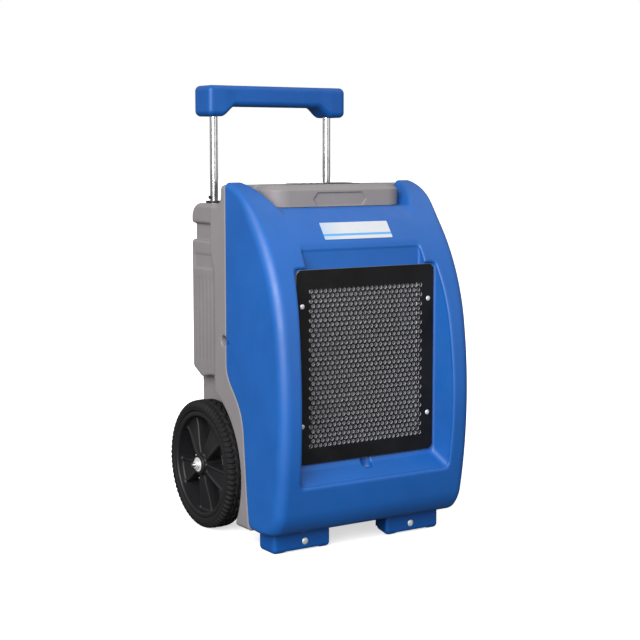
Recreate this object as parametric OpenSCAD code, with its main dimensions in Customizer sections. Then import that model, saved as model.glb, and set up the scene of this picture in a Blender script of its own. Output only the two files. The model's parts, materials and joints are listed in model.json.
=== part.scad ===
// Commercial portable dehumidifier on two wheels with a telescopic handle.
// X is to the right seen from the front, Y to the back, Z up, and the floor is z = 0.

/* [Housing] */
// Width over the moulded shells
body_w = 426; // [422:1:430]
// Wall thickness of the moulded shells
wall = 4; // [3:0.5:4]
// Half width of the rear box above the wheels
box_hw = 170; // [168:1:172]
// Y of the rear box's back face
box_rear = 194; // [192:1:196]
// Y of the seam between the front and rear shells
seam_y = -22; // [-24:1:-20]
// Height of the control deck
deck_z = 677; // [676:1:678]

/* [Grille] */
// Width of the perforated plate
plate_w = 310; // [306:1:312]
// Diameter of one perforation
hole_d = 7.3; // [6:0.1:7.6]
// Distance between perforations in a row
hole_pitch = 10.3; // [10:0.1:10.4]
// Distance between rows
row_pitch = 8.9; // [8.7:0.1:9]

/* [Wheels] */
// Outside diameter of the tyres
wheel_d = 254; // [250:1:254]
// Distance between the wheels' middle planes
track = 370; // [368:1:372]
// Width of a tyre
tyre_w = 48; // [44:1:48]
// Diameter of the axle
axle_d = 16; // [15:0.5:16]

/* [Handle] */
// Outside diameter of the handle tubes
tube_d = 16; // [15:0.5:16]
// Distance between the handle tubes
tube_gap = 266.6; // [264:0.2:267]
// Height of the grip's top
grip_top = 867.6; // [860:0.2:880]
// Radial clearance of everything that slides or turns in a bore
run_clear = 0.05; // [0.03:0.01:0.09]

/* [Cooling] */
// Tubes in the evaporator
evap_rows = 9; // [7:2:9]
// Tubes in the condenser
cond_rows = 10; // [8:2:10]
// Fins in each coil
fin_count = 20; // [16:2:24]
// Blades of the fan
blade_count = 7; // [5:1:8]

/* [Hidden] */
$fn = 48;

hw = body_w / 2;
far = 500;
// Front outline seen from the side: arcs that run into each other.
// Each arc has a radius and ends at a heading measured from straight up.
arc_r = [74, 950.6, 407.2, 138.4];
heading = [-57.7, -11.2, 9, 44.9, 85.9];
outline_start = [-174.9, 37.9];
arc_steps = 8;
bottom_z = 38;
top_z = 682.5;

// Seam, wheel arch and rear box
seam_break_z = 340;
seam_foot = [-104, bottom_z];
wide_rear = 41;
arch_r = 172;
lower_hw = 150;
lower_top = 310;
box_top = 637;
step_z = 640;
groove_z = [565, 597];
groove_deep = 8;

// Grey nose that carries the deck, on a shelf between the front shell's horns
nose_y = -89;
nose_z = 635.4;
nose_hw = 152;
nose_round = 40;
nose_gap = 0.6;
knee_z = 667;
bevel_y = -76;
shelf_z = 634.8;
valley_hw = 148;
valley_top = 700;
valley_slope = 0.64;

// Wheels
wheel_r = wheel_d / 2;
axle_r = axle_d / 2;
wheel_y = 98.9;
wheel_z = 127;
wheel_x = track / 2;
hub_in = wheel_x - 19;
hub_out = wheel_x + 24.5;
axle_end = wheel_x + 38.6;
spacer_r = 12;

// Recess, plate and filter
plate_z = [167.5, 526.5];
plate_y = -178.5;
plate_t = 2;
recess_y = plate_y + plate_t;
recess_z = [160, 530];
recess_hw = [158, 171];
slot_hw = 131;
slot_y = recess_y + 16;
slot_z = [168, 600];
inlet_hw = 122;
inlet_z = [192, 500];
screw_x = 142;
screw_z = [239.5, 460];
filter_hw = 129.5;
filter_z = [170, 522];
filter_y = [recess_y + 2.7, slot_y - 0.5];
mesh_y = [filter_y[0] + 1.2, filter_y[0] + 3.2];

// Feet
foot_x = [63, 190];
foot_y = [-155, -99];

// Handle
handle_x = tube_gap / 2;
handle_y = 163.4;
tube_r = tube_d / 2;
tube_bottom = 270;
grip_hw = 160;
grip_y = [131, 197.7];
grip_end_z = grip_top - 60.5;
grip_mid_z = grip_top - 40.6;
snap_z = 648;
snap_r = 3.5;
snap_out = 4;
handle_screw_z = 842;

// Power switch, tilted to its off position at rest
rocker_pivot = [192, 220];
rocker_tilt = 8;
rocker_pin_r = 1.5;

// Inside
pan_z = 42;
pan_t = 3;
pan_top = pan_z + pan_t;
pan_hw = 144;
coil_hw = 98;
coil_pitch = 30;
coil_z0 = 214;
tube_cu = 4.5;
evap_y = [-150, -110];
cond_y = [-98, -62];
coil_end = 103;
frame_x = 128;
fan_z = 380;
fan_r = 112;
shroud_y = [-50, -47];
comp = [45, 20];
comp_r = 62;

// ---- helpers ----
function normal_at(t) = [-cos(t), sin(t)];
function arc_centre(i) = i == 0
  ? outline_start - arc_r[0] * normal_at(heading[0])
  : arc_centre(i - 1) + (arc_r[i - 1] - arc_r[i]) * normal_at(heading[i]);
function outline(inset) = [
  for (i = [0:3], k = [(i == 0 ? 0 : 1):arc_steps])
    arc_centre(i) + (arc_r[i] - inset)
      * normal_at(heading[i] + (heading[i + 1] - heading[i]) * k / arc_steps)
];
function curve(a, b, c, d, n) = [
  for (k = [1:n]) let (t = k / n, u = 1 - t)
    u * u * u * a + 3 * u * u * t * b + 3 * u * t * t * c + t * t * t * d
];
function arc_points(c, r, from, to, n) = [
  for (k = [0:n]) let (t = from + (to - from) * k / n) c + r * [cos(t), sin(t)]
];
// Seam line from the top down to the floor plate
function seam_line() = concat(
  [[seam_y, far + top_z], [seam_y, seam_break_z]],
  curve([seam_y, seam_break_z], [-24, 295], [-78, 290], [-85, 215], 6),
  curve([-85, 215], [-90, 165], [-94, 110], seam_foot, 4),
  [[seam_foot[0], bottom_z - far]]
);

// Extrudes an outline given in Y and Z from x0 to x1
module across(x0, x1) {
  translate([x0, 0, 0]) rotate([90, 0, 90]) linear_extrude(x1 - x0) children();
}
// Extrudes an outline given in X and Z from y0 to y1
module along(y0, y1) {
  translate([0, y1, 0]) rotate([90, 0, 0]) linear_extrude(y1 - y0) children();
}
module block(x, y, z) {
  translate([x[0], y[0], z[0]]) cube([x[1] - x[0], y[1] - y[0], z[1] - z[0]]);
}
module rod_x(x0, x1, r, y, z) {
  translate([x0, y, z]) rotate([0, 90, 0]) cylinder(r = r, h = x1 - x0);
}
module rod_y(y0, y1, r, x, z) {
  translate([x, y1, z]) rotate([90, 0, 0]) cylinder(r = r, h = y1 - y0);
}
module rod_z(z0, z1, r, x, y) {
  translate([x, y, z0]) cylinder(r = r, h = z1 - z0);
}
module both_sides() {
  children();
  mirror([1, 0, 0]) children();
}
// Round bar or pipe through a list of points, with ball corners
module run(points, r) {
  for (i = [0:len(points) - 2]) {
    d = points[i + 1] - points[i];
    len_d = norm(d);
    translate(points[i])
      rotate([0, acos(d[2] / len_d), atan2(d[1], d[0])])
        cylinder(r = r, h = len_d);
  }
  if (len(points) > 2)
    for (i = [1:len(points) - 2]) translate(points[i]) sphere(r);
}
// Pan-head screw along +Y with its head's underside at y
module screw_y(x, y, z, r, head_r, head_h, length) {
  rod_y(y - head_h, y, head_r, x, z);
  rod_y(y - head_h / 2, y + length, r, x, z);
}

// ---- shells ----
module side_outline(inset) {
  polygon(concat(
    outline(inset),
    [[far, top_z - inset], [far, bottom_z + inset],
     [outline_start[0] + inset * 1.2, bottom_z + inset]]
  ));
}
module front_part(shift) {
  translate([shift, 0])
    polygon(concat(seam_line(), [[-far, bottom_z - far], [-far, far + top_z]]));
}
module nose(inset) {
  back = seam_y + wall + inset;
  mid = [nose_hw - nose_round, nose_y + nose_round];
  intersection() {
    across(-far, far) polygon([
      [nose_y + inset, nose_z - inset], [nose_y + inset, knee_z - inset * 0.4],
      [bevel_y + inset * 0.4, deck_z - inset], [back, deck_z - inset], [back, nose_z - inset]
    ]);
    linear_extrude(far * 2) polygon(concat(
      [[nose_hw - inset, back], [-nose_hw + inset, back]],
      arc_points([-mid[0], mid[1]], nose_round - inset, 180, 270, 6),
      arc_points(mid, nose_round - inset, 270, 360, 6)
    ));
    valley(-nose_gap - inset);
  }
}
// Everything above the shelf between the horns' slanted inner sides
module valley(grow) {
  low = shelf_z - grow;
  half = valley_hw + grow * 1.2 - valley_slope * grow;
  reach = half + valley_slope * (valley_top - low);
  along(-far, far)
    polygon([[-half, low], [half, low], [reach, valley_top], [-reach, valley_top]]);
}
module recess(grow) {
  intersection() {
    across(-far, far) polygon([
      [recess_y + grow, recess_z[0] - grow], [recess_y + grow, recess_z[1] + grow],
      [-far, recess_z[1] + grow], [-far, 10 - grow], [-230, 124 - grow]
    ]);
    linear_extrude(far * 2) polygon([
      [-recess_hw[0] - grow, recess_y + grow], [recess_hw[0] + grow, recess_y + grow],
      [recess_hw[1] + grow, -226], [recess_hw[1] + grow, -far],
      [-recess_hw[1] - grow, -far], [-recess_hw[1] - grow, -226]
    ]);
  }
  block([-slot_hw - grow, slot_hw + grow], [-far, slot_y + grow],
    [slot_z[0] - grow, slot_z[1] + grow]);
}
module front_shell() {
  color([0.2, 0.42, 0.75]) difference() {
    union() {
      difference() {
        across(-hw, hw) intersection() {
          side_outline(0);
          front_part(0);
        }
        across(-hw + wall, hw - wall) intersection() {
          side_outline(wall);
          front_part(wall);
        }
      }
      intersection() {
        recess(wall);
        across(-hw + 10, hw - 10) intersection() {
          side_outline(wall / 2);
          front_part(-wall);
        }
      }
      intersection() {
        valley(wall);
        across(-hw + 10, hw - 10) intersection() {
          side_outline(wall / 2);
          front_part(0);
        }
      }
      both_sides() block([hw - wall - 6, hw - wall + 0.5], [-44, -24], [371, 399]);
    }
    recess(0);
    valley(0);
    block([-inlet_hw, inlet_hw], [-far, -140], inlet_z);
    rod_z(142, 172, 11, 0, recess_y - 1);
    for (x = [-screw_x, screw_x], z = screw_z) rod_y(-200, -165, 2.5, x, z);
    both_sides() for (x = [88, 165]) rod_z(30, 50, 2.6, x, -84);
    both_sides() rod_x(hw - 12, hw + 1, 2.5, -32, 385);
  }
}
// Outline of the full-width part of the rear shell
module wide_outline(inset) {
  difference() {
    polygon(concat(
      [[wide_rear - inset, bottom_z + inset], [wide_rear - inset, step_z - inset]],
      curve([26, step_z - inset], [10, step_z - inset], [3, 656 - inset],
        [-2 - inset, 668 - inset], 5),
      [[-7 - inset, deck_z - inset], [-far, deck_z - inset], [-far, bottom_z + inset]]
    ));
    front_part(inset == 0 ? 0 : -wall);
  }
}
module box_outline(inset, z0) {
  r = 28;
  polygon(concat(
    [[0, z0 + inset]],
    [[box_rear - inset, z0 + inset]],
    arc_points([box_rear - r, box_top - r], r - inset, 0, 90, 6),
    [[0, box_top - inset]]
  ));
}
module arches(r) {
  both_sides() rod_x(lower_hw - (r - arch_r), far, r, wheel_y, wheel_z);
}
module groove(shift) {
  difference() {
    block([-far, far], [wide_rear - shift, far],
      [groove_z[0] - shift, groove_z[1] + shift]);
    block([-box_hw + groove_deep + shift, box_hw - groove_deep - shift],
      [-far, box_rear - groove_deep - shift], [0, far * 2]);
  }
}
module rear_solid(inset) {
  difference() {
    union() {
      across(-hw + inset, hw - inset) wide_outline(inset);
      across(-box_hw + inset, box_hw - inset) box_outline(inset, lower_top);
      across(-lower_hw + inset, lower_hw - inset) box_outline(inset, bottom_z);
    }
    arches(arch_r + inset);
    groove(inset);
  }
}
module rear_shell() {
  color([0.59, 0.57, 0.58]) difference() {
    union() {
      difference() {
        rear_solid(0);
        rear_solid(wall);
      }
      difference() {
        nose(0);
        nose(wall);
      }
      // Walls that close the valleys behind the horns
      both_sides() block([nose_hw - wall * 2, hw - wall / 2], [seam_y, seam_y + wall],
        [shelf_z - wall, deck_z - wall / 2]);
    }
    // Deck opening under the control panel
    block([-66, 66], [-50, -8], [660, 700]);
    both_sides() rod_x(100, far, spacer_r + 0.5, wheel_y, wheel_z);
    both_sides() rod_z(600, 660, 14.1, handle_x, handle_y);
    // Air outlet, power inlet, switch, hose outlet and side screw pockets
    block([-112, 112], [180, 210], [308, 512]);
    block([-60.2, -11.8], [180, 210], [204.8, 235.2]);
    block([-105.2, -74.8], [180, 210], [204.8, 235.2]);
    rod_y(180, 210, 7, -80, 100);
    both_sides() rod_x(100, far, 10, -14, 385);
  }
}
module housing_screws() {
  color([0.25, 0.25, 0.26]) both_sides() {
    rod_x(hw - 9.5, hw, 2.4, -32, 385);
    rod_x(hw, hw + 2, 4, -32, 385);
  }
}
module label_plate() {
  color([0.93, 0.94, 0.95]) across(-76, 76) intersection() {
    difference() {
      polygon(concat(outline(-0.5), [[far, top_z], [far, 0]]));
      side_outline(0);
    }
    translate([-200, 577]) square([120, 31]);
  }
}

// ---- grille and filter ----
module grille_plate() {
  rows = floor((490 - 199) / row_pitch);
  cols = floor(250 / hole_pitch);
  bevel = 8;
  x = plate_w / 2;
  color([0.15, 0.14, 0.16]) along(plate_y, plate_y + plate_t) difference() {
    polygon([
      [-x + bevel, plate_z[0]], [x - bevel, plate_z[0]], [x, plate_z[0] + bevel],
      [x, plate_z[1] - bevel], [x - bevel, plate_z[1]], [-x + bevel, plate_z[1]],
      [-x, plate_z[1] - bevel], [-x, plate_z[0] + bevel]
    ]);
    for (r = [0:rows], c = [0:cols - r % 2])
      translate([(c - (cols - r % 2) / 2) * hole_pitch, 344.5 + (r - rows / 2) * row_pitch])
        circle(d = hole_d, $fn = 24);
    for (sx = [-screw_x, screw_x], z = screw_z) translate([sx, z]) circle(2.75);
  }
}
module grille_screws() {
  color([0.8, 0.8, 0.82])
    for (x = [-screw_x, screw_x], z = screw_z) screw_y(x, plate_y, z, 2.4, 5, 2.6, 11);
}
module filter_frame() {
  rim = 11.5;
  color([0.78, 0.79, 0.8]) difference() {
    block([-filter_hw, filter_hw], filter_y, filter_z);
    block([-filter_hw + rim, filter_hw - rim], filter_y + [-1, 1],
      [filter_z[0] + rim, filter_z[1] - rim]);
    // Groove that holds the mesh
    block([-filter_hw + 3, filter_hw - 3], mesh_y + [-0.1, 0.1],
      [filter_z[0] + 3, filter_z[1] - 3]);
  }
}
module filter_mesh() {
  color([0.6, 0.61, 0.62]) block([-filter_hw + 3.2, filter_hw - 3.2], mesh_y,
    [filter_z[0] + 3.2, filter_z[1] - 3.2]);
}

// ---- feet and base ----
module foot() {
  front = foot_y[0];
  back = foot_y[1];
  difference() {
    intersection() {
      across(foot_x[0], foot_x[1]) polygon([
        [front, 4], [front + 4, 0], [back - 4, 0], [back, 4], [back, bottom_z], [front, bottom_z]
      ]);
      linear_extrude(bottom_z) polygon([
        [foot_x[0], front], [foot_x[1], front], [foot_x[1], back], [foot_x[0] + 15, back]
      ]);
    }
    block([84, 168], [-200, 0], [-1, 2]);
    rod_y(-160, -90, 3.1, 121.6, 18.2);
  }
}
module foot_right() {
  color([0.18, 0.38, 0.7]) foot();
}
module foot_left() {
  color([0.18, 0.38, 0.7]) mirror([1, 0, 0]) foot();
}
module foot_brackets() {
  color([0.6, 0.6, 0.62]) both_sides() difference() {
    union() {
      block([80, 172], [-99, -96], [6, bottom_z]);
      block([80, 172], [-97, -70], [bottom_z - 3, bottom_z]);
    }
    rod_y(-110, -90, 3, 121.6, 18.2);
  }
}
module foot_screws() {
  color([0.8, 0.8, 0.82]) both_sides() screw_y(121.6, foot_y[0], 18.2, 2.9, 7, 3, 64);
}
module at_compressor_feet() {
  for (x = [comp[0] - 65, comp[0] + 65], y = [comp[1] - 35, comp[1] + 35])
    translate([x, y, 0]) children();
}
module base_pan() {
  color([0.62, 0.63, 0.65]) difference() {
    block([-pan_hw, pan_hw], [-130, 186], [pan_z, pan_top]);
    at_compressor_feet() rod_z(40, 50, 3.2, 0, 0);
  }
}
module coil_frames() {
  color([0.66, 0.67, 0.69]) both_sides() {
    difference() {
      block([frame_x, frame_x + 3], [-152, -56], [pan_top, 508]);
      block([frame_x - 1, frame_x + 4], [-140, -70], [60, 155]);
    }
    // Flange that stops air from passing beside the coils
    block([coil_hw + 1, frame_x + 1], [-152, -150.5], [192, 508]);
  }
}

// ---- cooling circuit ----
module fins(y, rows, z0) {
  mid = (y[0] + y[1]) / 2;
  step = 2 * coil_hw / (fin_count - 1);
  for (i = [0:fin_count - 1])
    across(-coil_hw + i * step - 0.4, -coil_hw + i * step + 0.4) difference() {
      translate([y[0], z0 - 14]) square([y[1] - y[0], (rows - 1) * coil_pitch + 28]);
      for (k = [0:rows - 1]) translate([mid, z0 + k * coil_pitch]) circle(tube_cu + 0.1);
    }
}
// Serpentine tube; first is the side on which the lowest tube is left open
module serpentine(y, rows, z0, first) {
  bend = coil_pitch / 2;
  for (k = [0:rows - 1]) rod_x(-coil_end, coil_end, tube_cu, y, z0 + k * coil_pitch);
  for (k = [0:rows - 2]) {
    side = (k % 2 == 0) ? -first : first;
    translate([side * coil_end, y, z0 + k * coil_pitch + bend])
      rotate([90, 0, 0]) rotate([0, 0, side > 0 ? -90 : 90])
        rotate_extrude(angle = 180) translate([bend, 0]) circle(tube_cu);
  }
}
module evaporator_fins() {
  color([0.75, 0.77, 0.8]) fins(evap_y, evap_rows, coil_z0);
}
module evaporator_tubes() {
  color([0.72, 0.45, 0.3]) serpentine(-130, evap_rows, coil_z0, -1);
}
module condenser_fins() {
  color([0.75, 0.77, 0.8]) fins(cond_y, cond_rows, coil_z0 + 8);
}
module condenser_tubes() {
  color([0.72, 0.45, 0.3]) serpentine(-80, cond_rows, coil_z0 + 8, 1);
}
module drip_tray() {
  color([0.3, 0.31, 0.33]) difference() {
    block([-112, 112], [-156, -56], [165, 190]);
    block([-109, 109], [-153, -59], [168, 200]);
    rod_z(160, 170, 5, -80, -95);
  }
  color([0.3, 0.31, 0.33]) both_sides()
    block([112, frame_x], [-100, -85], [165, 168]);
}
module condensate_pump() {
  color([0.2, 0.2, 0.22]) difference() {
    block([-112, -50], [-122, -68], [pan_top, 120]);
    rod_z(112, 121, 5, -80, -95);
    rod_y(-76, -60, 5, -80, 100);
  }
}
module drain_hoses() {
  color([0.85, 0.86, 0.84]) {
    rod_z(112, 165, 5, -80, -95);
    rod_y(-76, 182, 5, -80, 100);
  }
}
module drain_barb() {
  color([0.1, 0.1, 0.11]) difference() {
    union() {
      rod_y(182, 194, 7, -80, 100);
      rod_y(194, 197, 11, -80, 100);
      rod_y(197, 219, 6, -80, 100);
    }
    rod_y(181, 220, 3.5, -80, 100);
  }
}
module compressor() {
  feet = [comp[0] - 75, comp[0] + 75];
  color([0.12, 0.12, 0.13]) {
    translate([comp[0], comp[1], 60]) rotate_extrude() difference() {
      union() {
        square([comp_r, 130]);
        translate([0, 130]) intersection() {
          circle(comp_r);
          square([comp_r, 44]);
        }
      }
      translate([-comp_r, -1]) square([comp_r, far]);
    }
    difference() {
      block(feet, [comp[1] - 45, comp[1] + 45], [57, 60]);
      at_compressor_feet() rod_z(50, 70, 4, 0, 0);
    }
  }
}
module compressor_grommets() {
  color([0.08, 0.08, 0.08]) at_compressor_feet() difference() {
    rod_z(pan_top, 57, 8, 0, 0);
    rod_z(pan_top - 1, 58, 3.2, 0, 0);
  }
}
module compressor_bolts() {
  color([0.75, 0.75, 0.77]) at_compressor_feet() {
    rod_z(pan_z, 66, 3, 0, 0);
    translate([0, 0, 60]) cylinder(r = 6, h = 5, $fn = 6);
  }
}
module accumulator() {
  color([0.12, 0.12, 0.13]) rod_z(80, 190, 20, -45, comp[1]);
  color([0.12, 0.12, 0.13]) block([-45, comp[0] - comp_r], [14, 26], [120, 126]);
}
module refrigerant_pipes() {
  color([0.72, 0.45, 0.3]) {
    // Suction line from the evaporator to the accumulator
    run([[-coil_end - 0.01, -130, coil_z0], [-112, -130, coil_z0], [-112, 20, coil_z0],
      [-45, 20, coil_z0], [-45, 20, 190]], 4.5);
    // Discharge line from the compressor to the top of the condenser
    run([[comp[0], 20, 234], [comp[0], 20, 248], [112, 20, 248], [112, -56, 248],
      [112, -56, 492], [112, -80, 492], [coil_end + 0.01, -80, 492]], 4);
    // Liquid line from the bottom of the condenser to the drier
    run([[coil_end + 0.01, -80, 222], [120, -80, 222], [120, -25, 222],
      [120, -25, 190]], 3);
  }
}
module filter_drier() {
  color([0.75, 0.5, 0.35]) rod_z(100, 190, 12, 120, -25);
}
module capillary_tube() {
  color([0.72, 0.45, 0.3]) run([[120, -25, 100], [120, -25, 70], [120, -104, 70],
    [120, -104, 454], [120, -130, 454], [coil_end + 0.01, -130, 454]], 1.5);
}

// ---- fan ----
module fan_shroud() {
  color([0.3, 0.31, 0.33]) {
    difference() {
      block([-135, 135], shroud_y, [pan_top, 600]);
      rod_y(-60, -40, fan_r + 5, 0, fan_z);
      rod_y(-60, -40, 6, -112, coil_z0);
      rod_y(-60, -40, 6, -80, 100);
      rod_y(-60, -40, 6, 112, 248);
      rod_y(-60, -40, 6, 120, 222);
      rod_y(-60, -40, 6, 120, 70);
    }
    difference() {
      rod_y(shroud_y[1] - 0.5, -12, fan_r + 8, 0, fan_z);
      rod_y(-60, -5, fan_r + 5, 0, fan_z);
    }
  }
}
module fan_shaft() {
  color([0.75, 0.75, 0.78]) rod_y(-42, 25, 6, 0, fan_z);
}
module fan_blades() {
  color([0.16, 0.16, 0.18]) difference() {
    union() {
      rod_y(-38, -4, 30, 0, fan_z);
      intersection() {
        difference() {
          rod_y(-44, 2, fan_r, 0, fan_z);
          rod_y(-45, 3, 29, 0, fan_z);
        }
        translate([0, -21, fan_z])
          for (i = [0:blade_count - 1])
            rotate([0, i * 360 / blade_count, 0]) rotate([0, 0, 32])
              translate([-24, -1.2, 10]) cube([48, 2.4, fan_r]);
      }
    }
    rod_y(-60, 20, 6, 0, fan_z);
  }
}
module fan_motor() {
  color([0.25, 0.25, 0.27]) difference() {
    rod_y(5, 75, 48, 0, fan_z);
    rod_y(0, 27, 6 + run_clear, 0, fan_z);
  }
}
module motor_bracket() {
  color([0.6, 0.6, 0.62]) {
    block([-126, 126], [75, 78], [360, 400]);
    both_sides() block([123, 126], [shroud_y[1], 76], [360, 400]);
  }
}
module outlet_grille() {
  color([0.12, 0.12, 0.13]) {
    difference() {
      block([-120, 120], [box_rear, box_rear + 4], [300, 520]);
      block([-108, 108], [box_rear - 1, box_rear + 5], [312, 508]);
    }
    for (i = [0:12])
      translate([-109, box_rear + 0.4, 318 + i * 15]) rotate([-30, 0, 0]) cube([218, 4, 1.6]);
  }
}

// ---- electrical ----
module electrical_box() {
  color([0.62, 0.63, 0.65]) difference() {
    block([25, 115], [120, box_rear - wall], [170, 270]);
    block([28, 112], [123, box_rear - wall - 3], [173, 267]);
  }
}
module run_capacitor() {
  color([0.7, 0.7, 0.72]) rod_z(pan_top, 125, 20, -10, 150);
}
module power_inlet() {
  color([0.1, 0.1, 0.11]) difference() {
    union() {
      block([-60, -12], [172, box_rear], [205, 235]);
      block([-68, -4], [box_rear, box_rear + 3], [200, 240]);
    }
    block([-48, -24], [180, 200], [211, 229]);
  }
}
module switch_housing() {
  color([0.1, 0.1, 0.11]) difference() {
    union() {
      block([-105, -75], [174, box_rear], [205, 235]);
      block([-109, -71], [box_rear, box_rear + 2], [201, 239]);
    }
    block([-101, -79], [179, 200], [209, 231]);
    rod_x(-104, -76, rocker_pin_r + run_clear, rocker_pivot[0], rocker_pivot[1]);
  }
}
module power_rocker() {
  color([0.6, 0.1, 0.08]) {
    translate([0, rocker_pivot[0], rocker_pivot[1]]) rotate([-rocker_tilt, 0, 0])
      across(-100, -80) polygon([
        [1, -9.5], [7, -9.2], [4, 0], [7, 9.2], [1, 9.5], [-5, 5], [-5, -5]
      ]);
    rod_x(-103, -77, rocker_pin_r, rocker_pivot[0], rocker_pivot[1]);
  }
}
module control_panel() {
  color([0.14, 0.14, 0.16]) difference() {
    union() {
      block([-72, 72], [-53, -4], [deck_z, deck_z + 1]);
      block([-65.5, 65.5], [-49.5, -8.5], [deck_z - 2, deck_z + 0.5]);
      block([8, 56], [-47, -11], [deck_z, deck_z + 2]);
      for (x = [-60, 60], y = [-46, -12]) rod_z(656, deck_z + 0.5, 2.5, x, y);
    }
    block([12, 52], [-43, -15], [deck_z + 0.5, deck_z + 5]);
    for (x = [-52, -36, -20, -4]) rod_z(650, 690, 5 + run_clear, x, -29);
  }
}
module control_board() {
  color([0.1, 0.35, 0.2]) block([-63, 63], [-48, -10], [654, 656]);
}
module display_window() {
  color([0.12, 0.2, 0.25]) block([12, 52], [-43, -15], [deck_z + 0.5, deck_z + 2]);
}
module push_button(x) {
  color([0.75, 0.76, 0.78]) rod_z(660, deck_z + 2.5, 5, x, -29);
}
module button_power() {
  push_button(-52);
}
module button_up() {
  push_button(-36);
}
module button_down() {
  push_button(-20);
}
module button_purge() {
  push_button(-4);
}

// ---- wheels ----
module axle() {
  color([0.7, 0.7, 0.72]) {
    rod_x(-hub_out - 1.8, hub_out + 1.8, axle_r, wheel_y, wheel_z);
    rod_x(-axle_end, axle_end, 4, wheel_y, wheel_z);
  }
}
module wheel_hardware() {
  inner = axle_r + run_clear;
  color([0.8, 0.8, 0.82]) both_sides() {
    // Bracket that carries the axle on the base pan
    difference() {
      block([118, 122], [76, 121], [pan_top, 150]);
      rod_x(110, 130, inner, wheel_y, wheel_z);
    }
    // Spacer between the box and the hub
    difference() {
      rod_x(123, hub_in - 0.5, spacer_r, wheel_y, wheel_z);
      rod_x(120, hub_in, inner, wheel_y, wheel_z);
    }
    // Washer and lock nut
    difference() {
      rod_x(hub_out + 0.3, hub_out + 1.8, 14, wheel_y, wheel_z);
      rod_x(hub_out, hub_out + 2, inner, wheel_y, wheel_z);
    }
    difference() {
      translate([hub_out + 2, wheel_y, wheel_z]) rotate([0, 90, 0])
        cylinder(r = 8, h = 6, $fn = 6);
      rod_x(hub_out + 1, hub_out + 9, 4, wheel_y, wheel_z);
    }
  }
}
module rim() {
  rim_r = 0.8 * wheel_r;
  spokes = 5;
  spoke_turn = 36;
  translate([0, wheel_y, wheel_z]) difference() {
    union() {
      rod_x(hub_in, hub_out, 24, 0, 0);
      difference() {
        rod_x(wheel_x - tyre_w / 2 + 3, wheel_x + tyre_w / 2 - 3, rim_r, 0, 0);
        rod_x(0, far, rim_r - 7, 0, 0);
      }
      for (i = [0:spokes - 1]) rotate([90 + spoke_turn + i * 360 / spokes, 0, 0])
        across(wheel_x - 12, wheel_x + 12)
          polygon([[17, -9], [rim_r - 4, -26], [rim_r - 4, 26], [17, 9]]);
    }
    rod_x(0, far, axle_r + run_clear, 0, 0);
    // Spokes are thin webs with raised edges on the outside
    for (i = [0:spokes - 1]) rotate([90 + spoke_turn + i * 360 / spokes, 0, 0])
      across(wheel_x + 2, wheel_x + 13)
        polygon([[34, -7], [rim_r - 12, -18.5], [rim_r - 12, 18.5], [34, 7]]);
  }
}
module rim_right() {
  color([0.1, 0.1, 0.11]) rim();
}
module rim_left() {
  color([0.1, 0.1, 0.11]) mirror([1, 0, 0]) rim();
}
module tyre() {
  inner = 0.8 * wheel_r;
  half = tyre_w / 2;
  shoulder = wheel_r - 7;
  translate([wheel_x, wheel_y, wheel_z]) rotate([0, 90, 0]) rotate_extrude($fn = 96)
    polygon([
      [inner, -half + 4], [inner + 6, -half], [shoulder, -half + 2],
      [wheel_r - 1, -half + 9], [wheel_r, -10], [wheel_r, 10], [wheel_r - 1, half - 9],
      [shoulder, half - 2], [inner + 6, half], [inner, half - 4]
    ]);
}
module tyre_right() {
  color([0.06, 0.06, 0.06]) tyre();
}
module tyre_left() {
  color([0.06, 0.06, 0.06]) mirror([1, 0, 0]) tyre();
}

// ---- handle ----
module snap_slot(z0, z1) {
  block([handle_x, handle_x + tube_r + snap_out + 0.6],
    [handle_y - snap_r - 0.5, handle_y + snap_r + 0.5], [z0, z1]);
}
module tube_guides() {
  color([0.15, 0.15, 0.16]) both_sides() difference() {
    rod_z(pan_top, 630, 10.6, handle_x, handle_y);
    rod_z(pan_top - 1, 631, tube_r + run_clear, handle_x, handle_y);
    snap_slot(pan_top - 1, 631);
  }
}
module tube_collars() {
  color([0.12, 0.12, 0.13]) both_sides() difference() {
    union() {
      rod_z(631, box_top, 14, handle_x, handle_y);
      rod_z(box_top, box_top + 4, 17, handle_x, handle_y);
    }
    rod_z(620, 650, tube_r + run_clear, handle_x, handle_y);
    snap_slot(620, 650);
  }
}
module handle_tubes() {
  color([0.85, 0.85, 0.87]) both_sides() difference() {
    rod_z(tube_bottom, grip_top - 10, tube_r, handle_x, handle_y);
    rod_z(tube_bottom - 1, grip_top, tube_r - 1.5, handle_x, handle_y);
    rod_x(handle_x, handle_x + 20, snap_r + run_clear, handle_y, snap_z);
    rod_y(handle_y - 20, handle_y + 20, 2.5, handle_x, handle_screw_z);
  }
}
module handle_grip() {
  color([0.2, 0.42, 0.75]) difference() {
    along(grip_y[0], grip_y[1]) polygon([
      [-grip_hw + 8, grip_top], [-grip_hw, grip_top - 8], [-grip_hw, grip_end_z + 8],
      [-grip_hw + 8, grip_end_z], [-127, grip_end_z], [-98, grip_mid_z],
      [98, grip_mid_z], [127, grip_end_z], [grip_hw - 8, grip_end_z],
      [grip_hw, grip_end_z + 8], [grip_hw, grip_top - 8], [grip_hw - 8, grip_top]
    ]);
    both_sides() rod_z(0, grip_top - 10, tube_r, handle_x, handle_y);
    both_sides() rod_y(150, 250, 2.5, handle_x, handle_screw_z);
    both_sides() rod_y(grip_y[1] - 6, 250, 5, handle_x, handle_screw_z);
  }
}
module handle_screws() {
  color([0.8, 0.8, 0.82]) both_sides() {
    rod_y(152, grip_y[1] - 4, 2.4, handle_x, handle_screw_z);
    rod_y(grip_y[1] - 6, grip_y[1] - 2, 4.5, handle_x, handle_screw_z);
  }
}
module snap_button() {
  color([0.2, 0.2, 0.22])
    rod_x(handle_x + 2, handle_x + tube_r + snap_out, snap_r, handle_y, snap_z);
}
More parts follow.
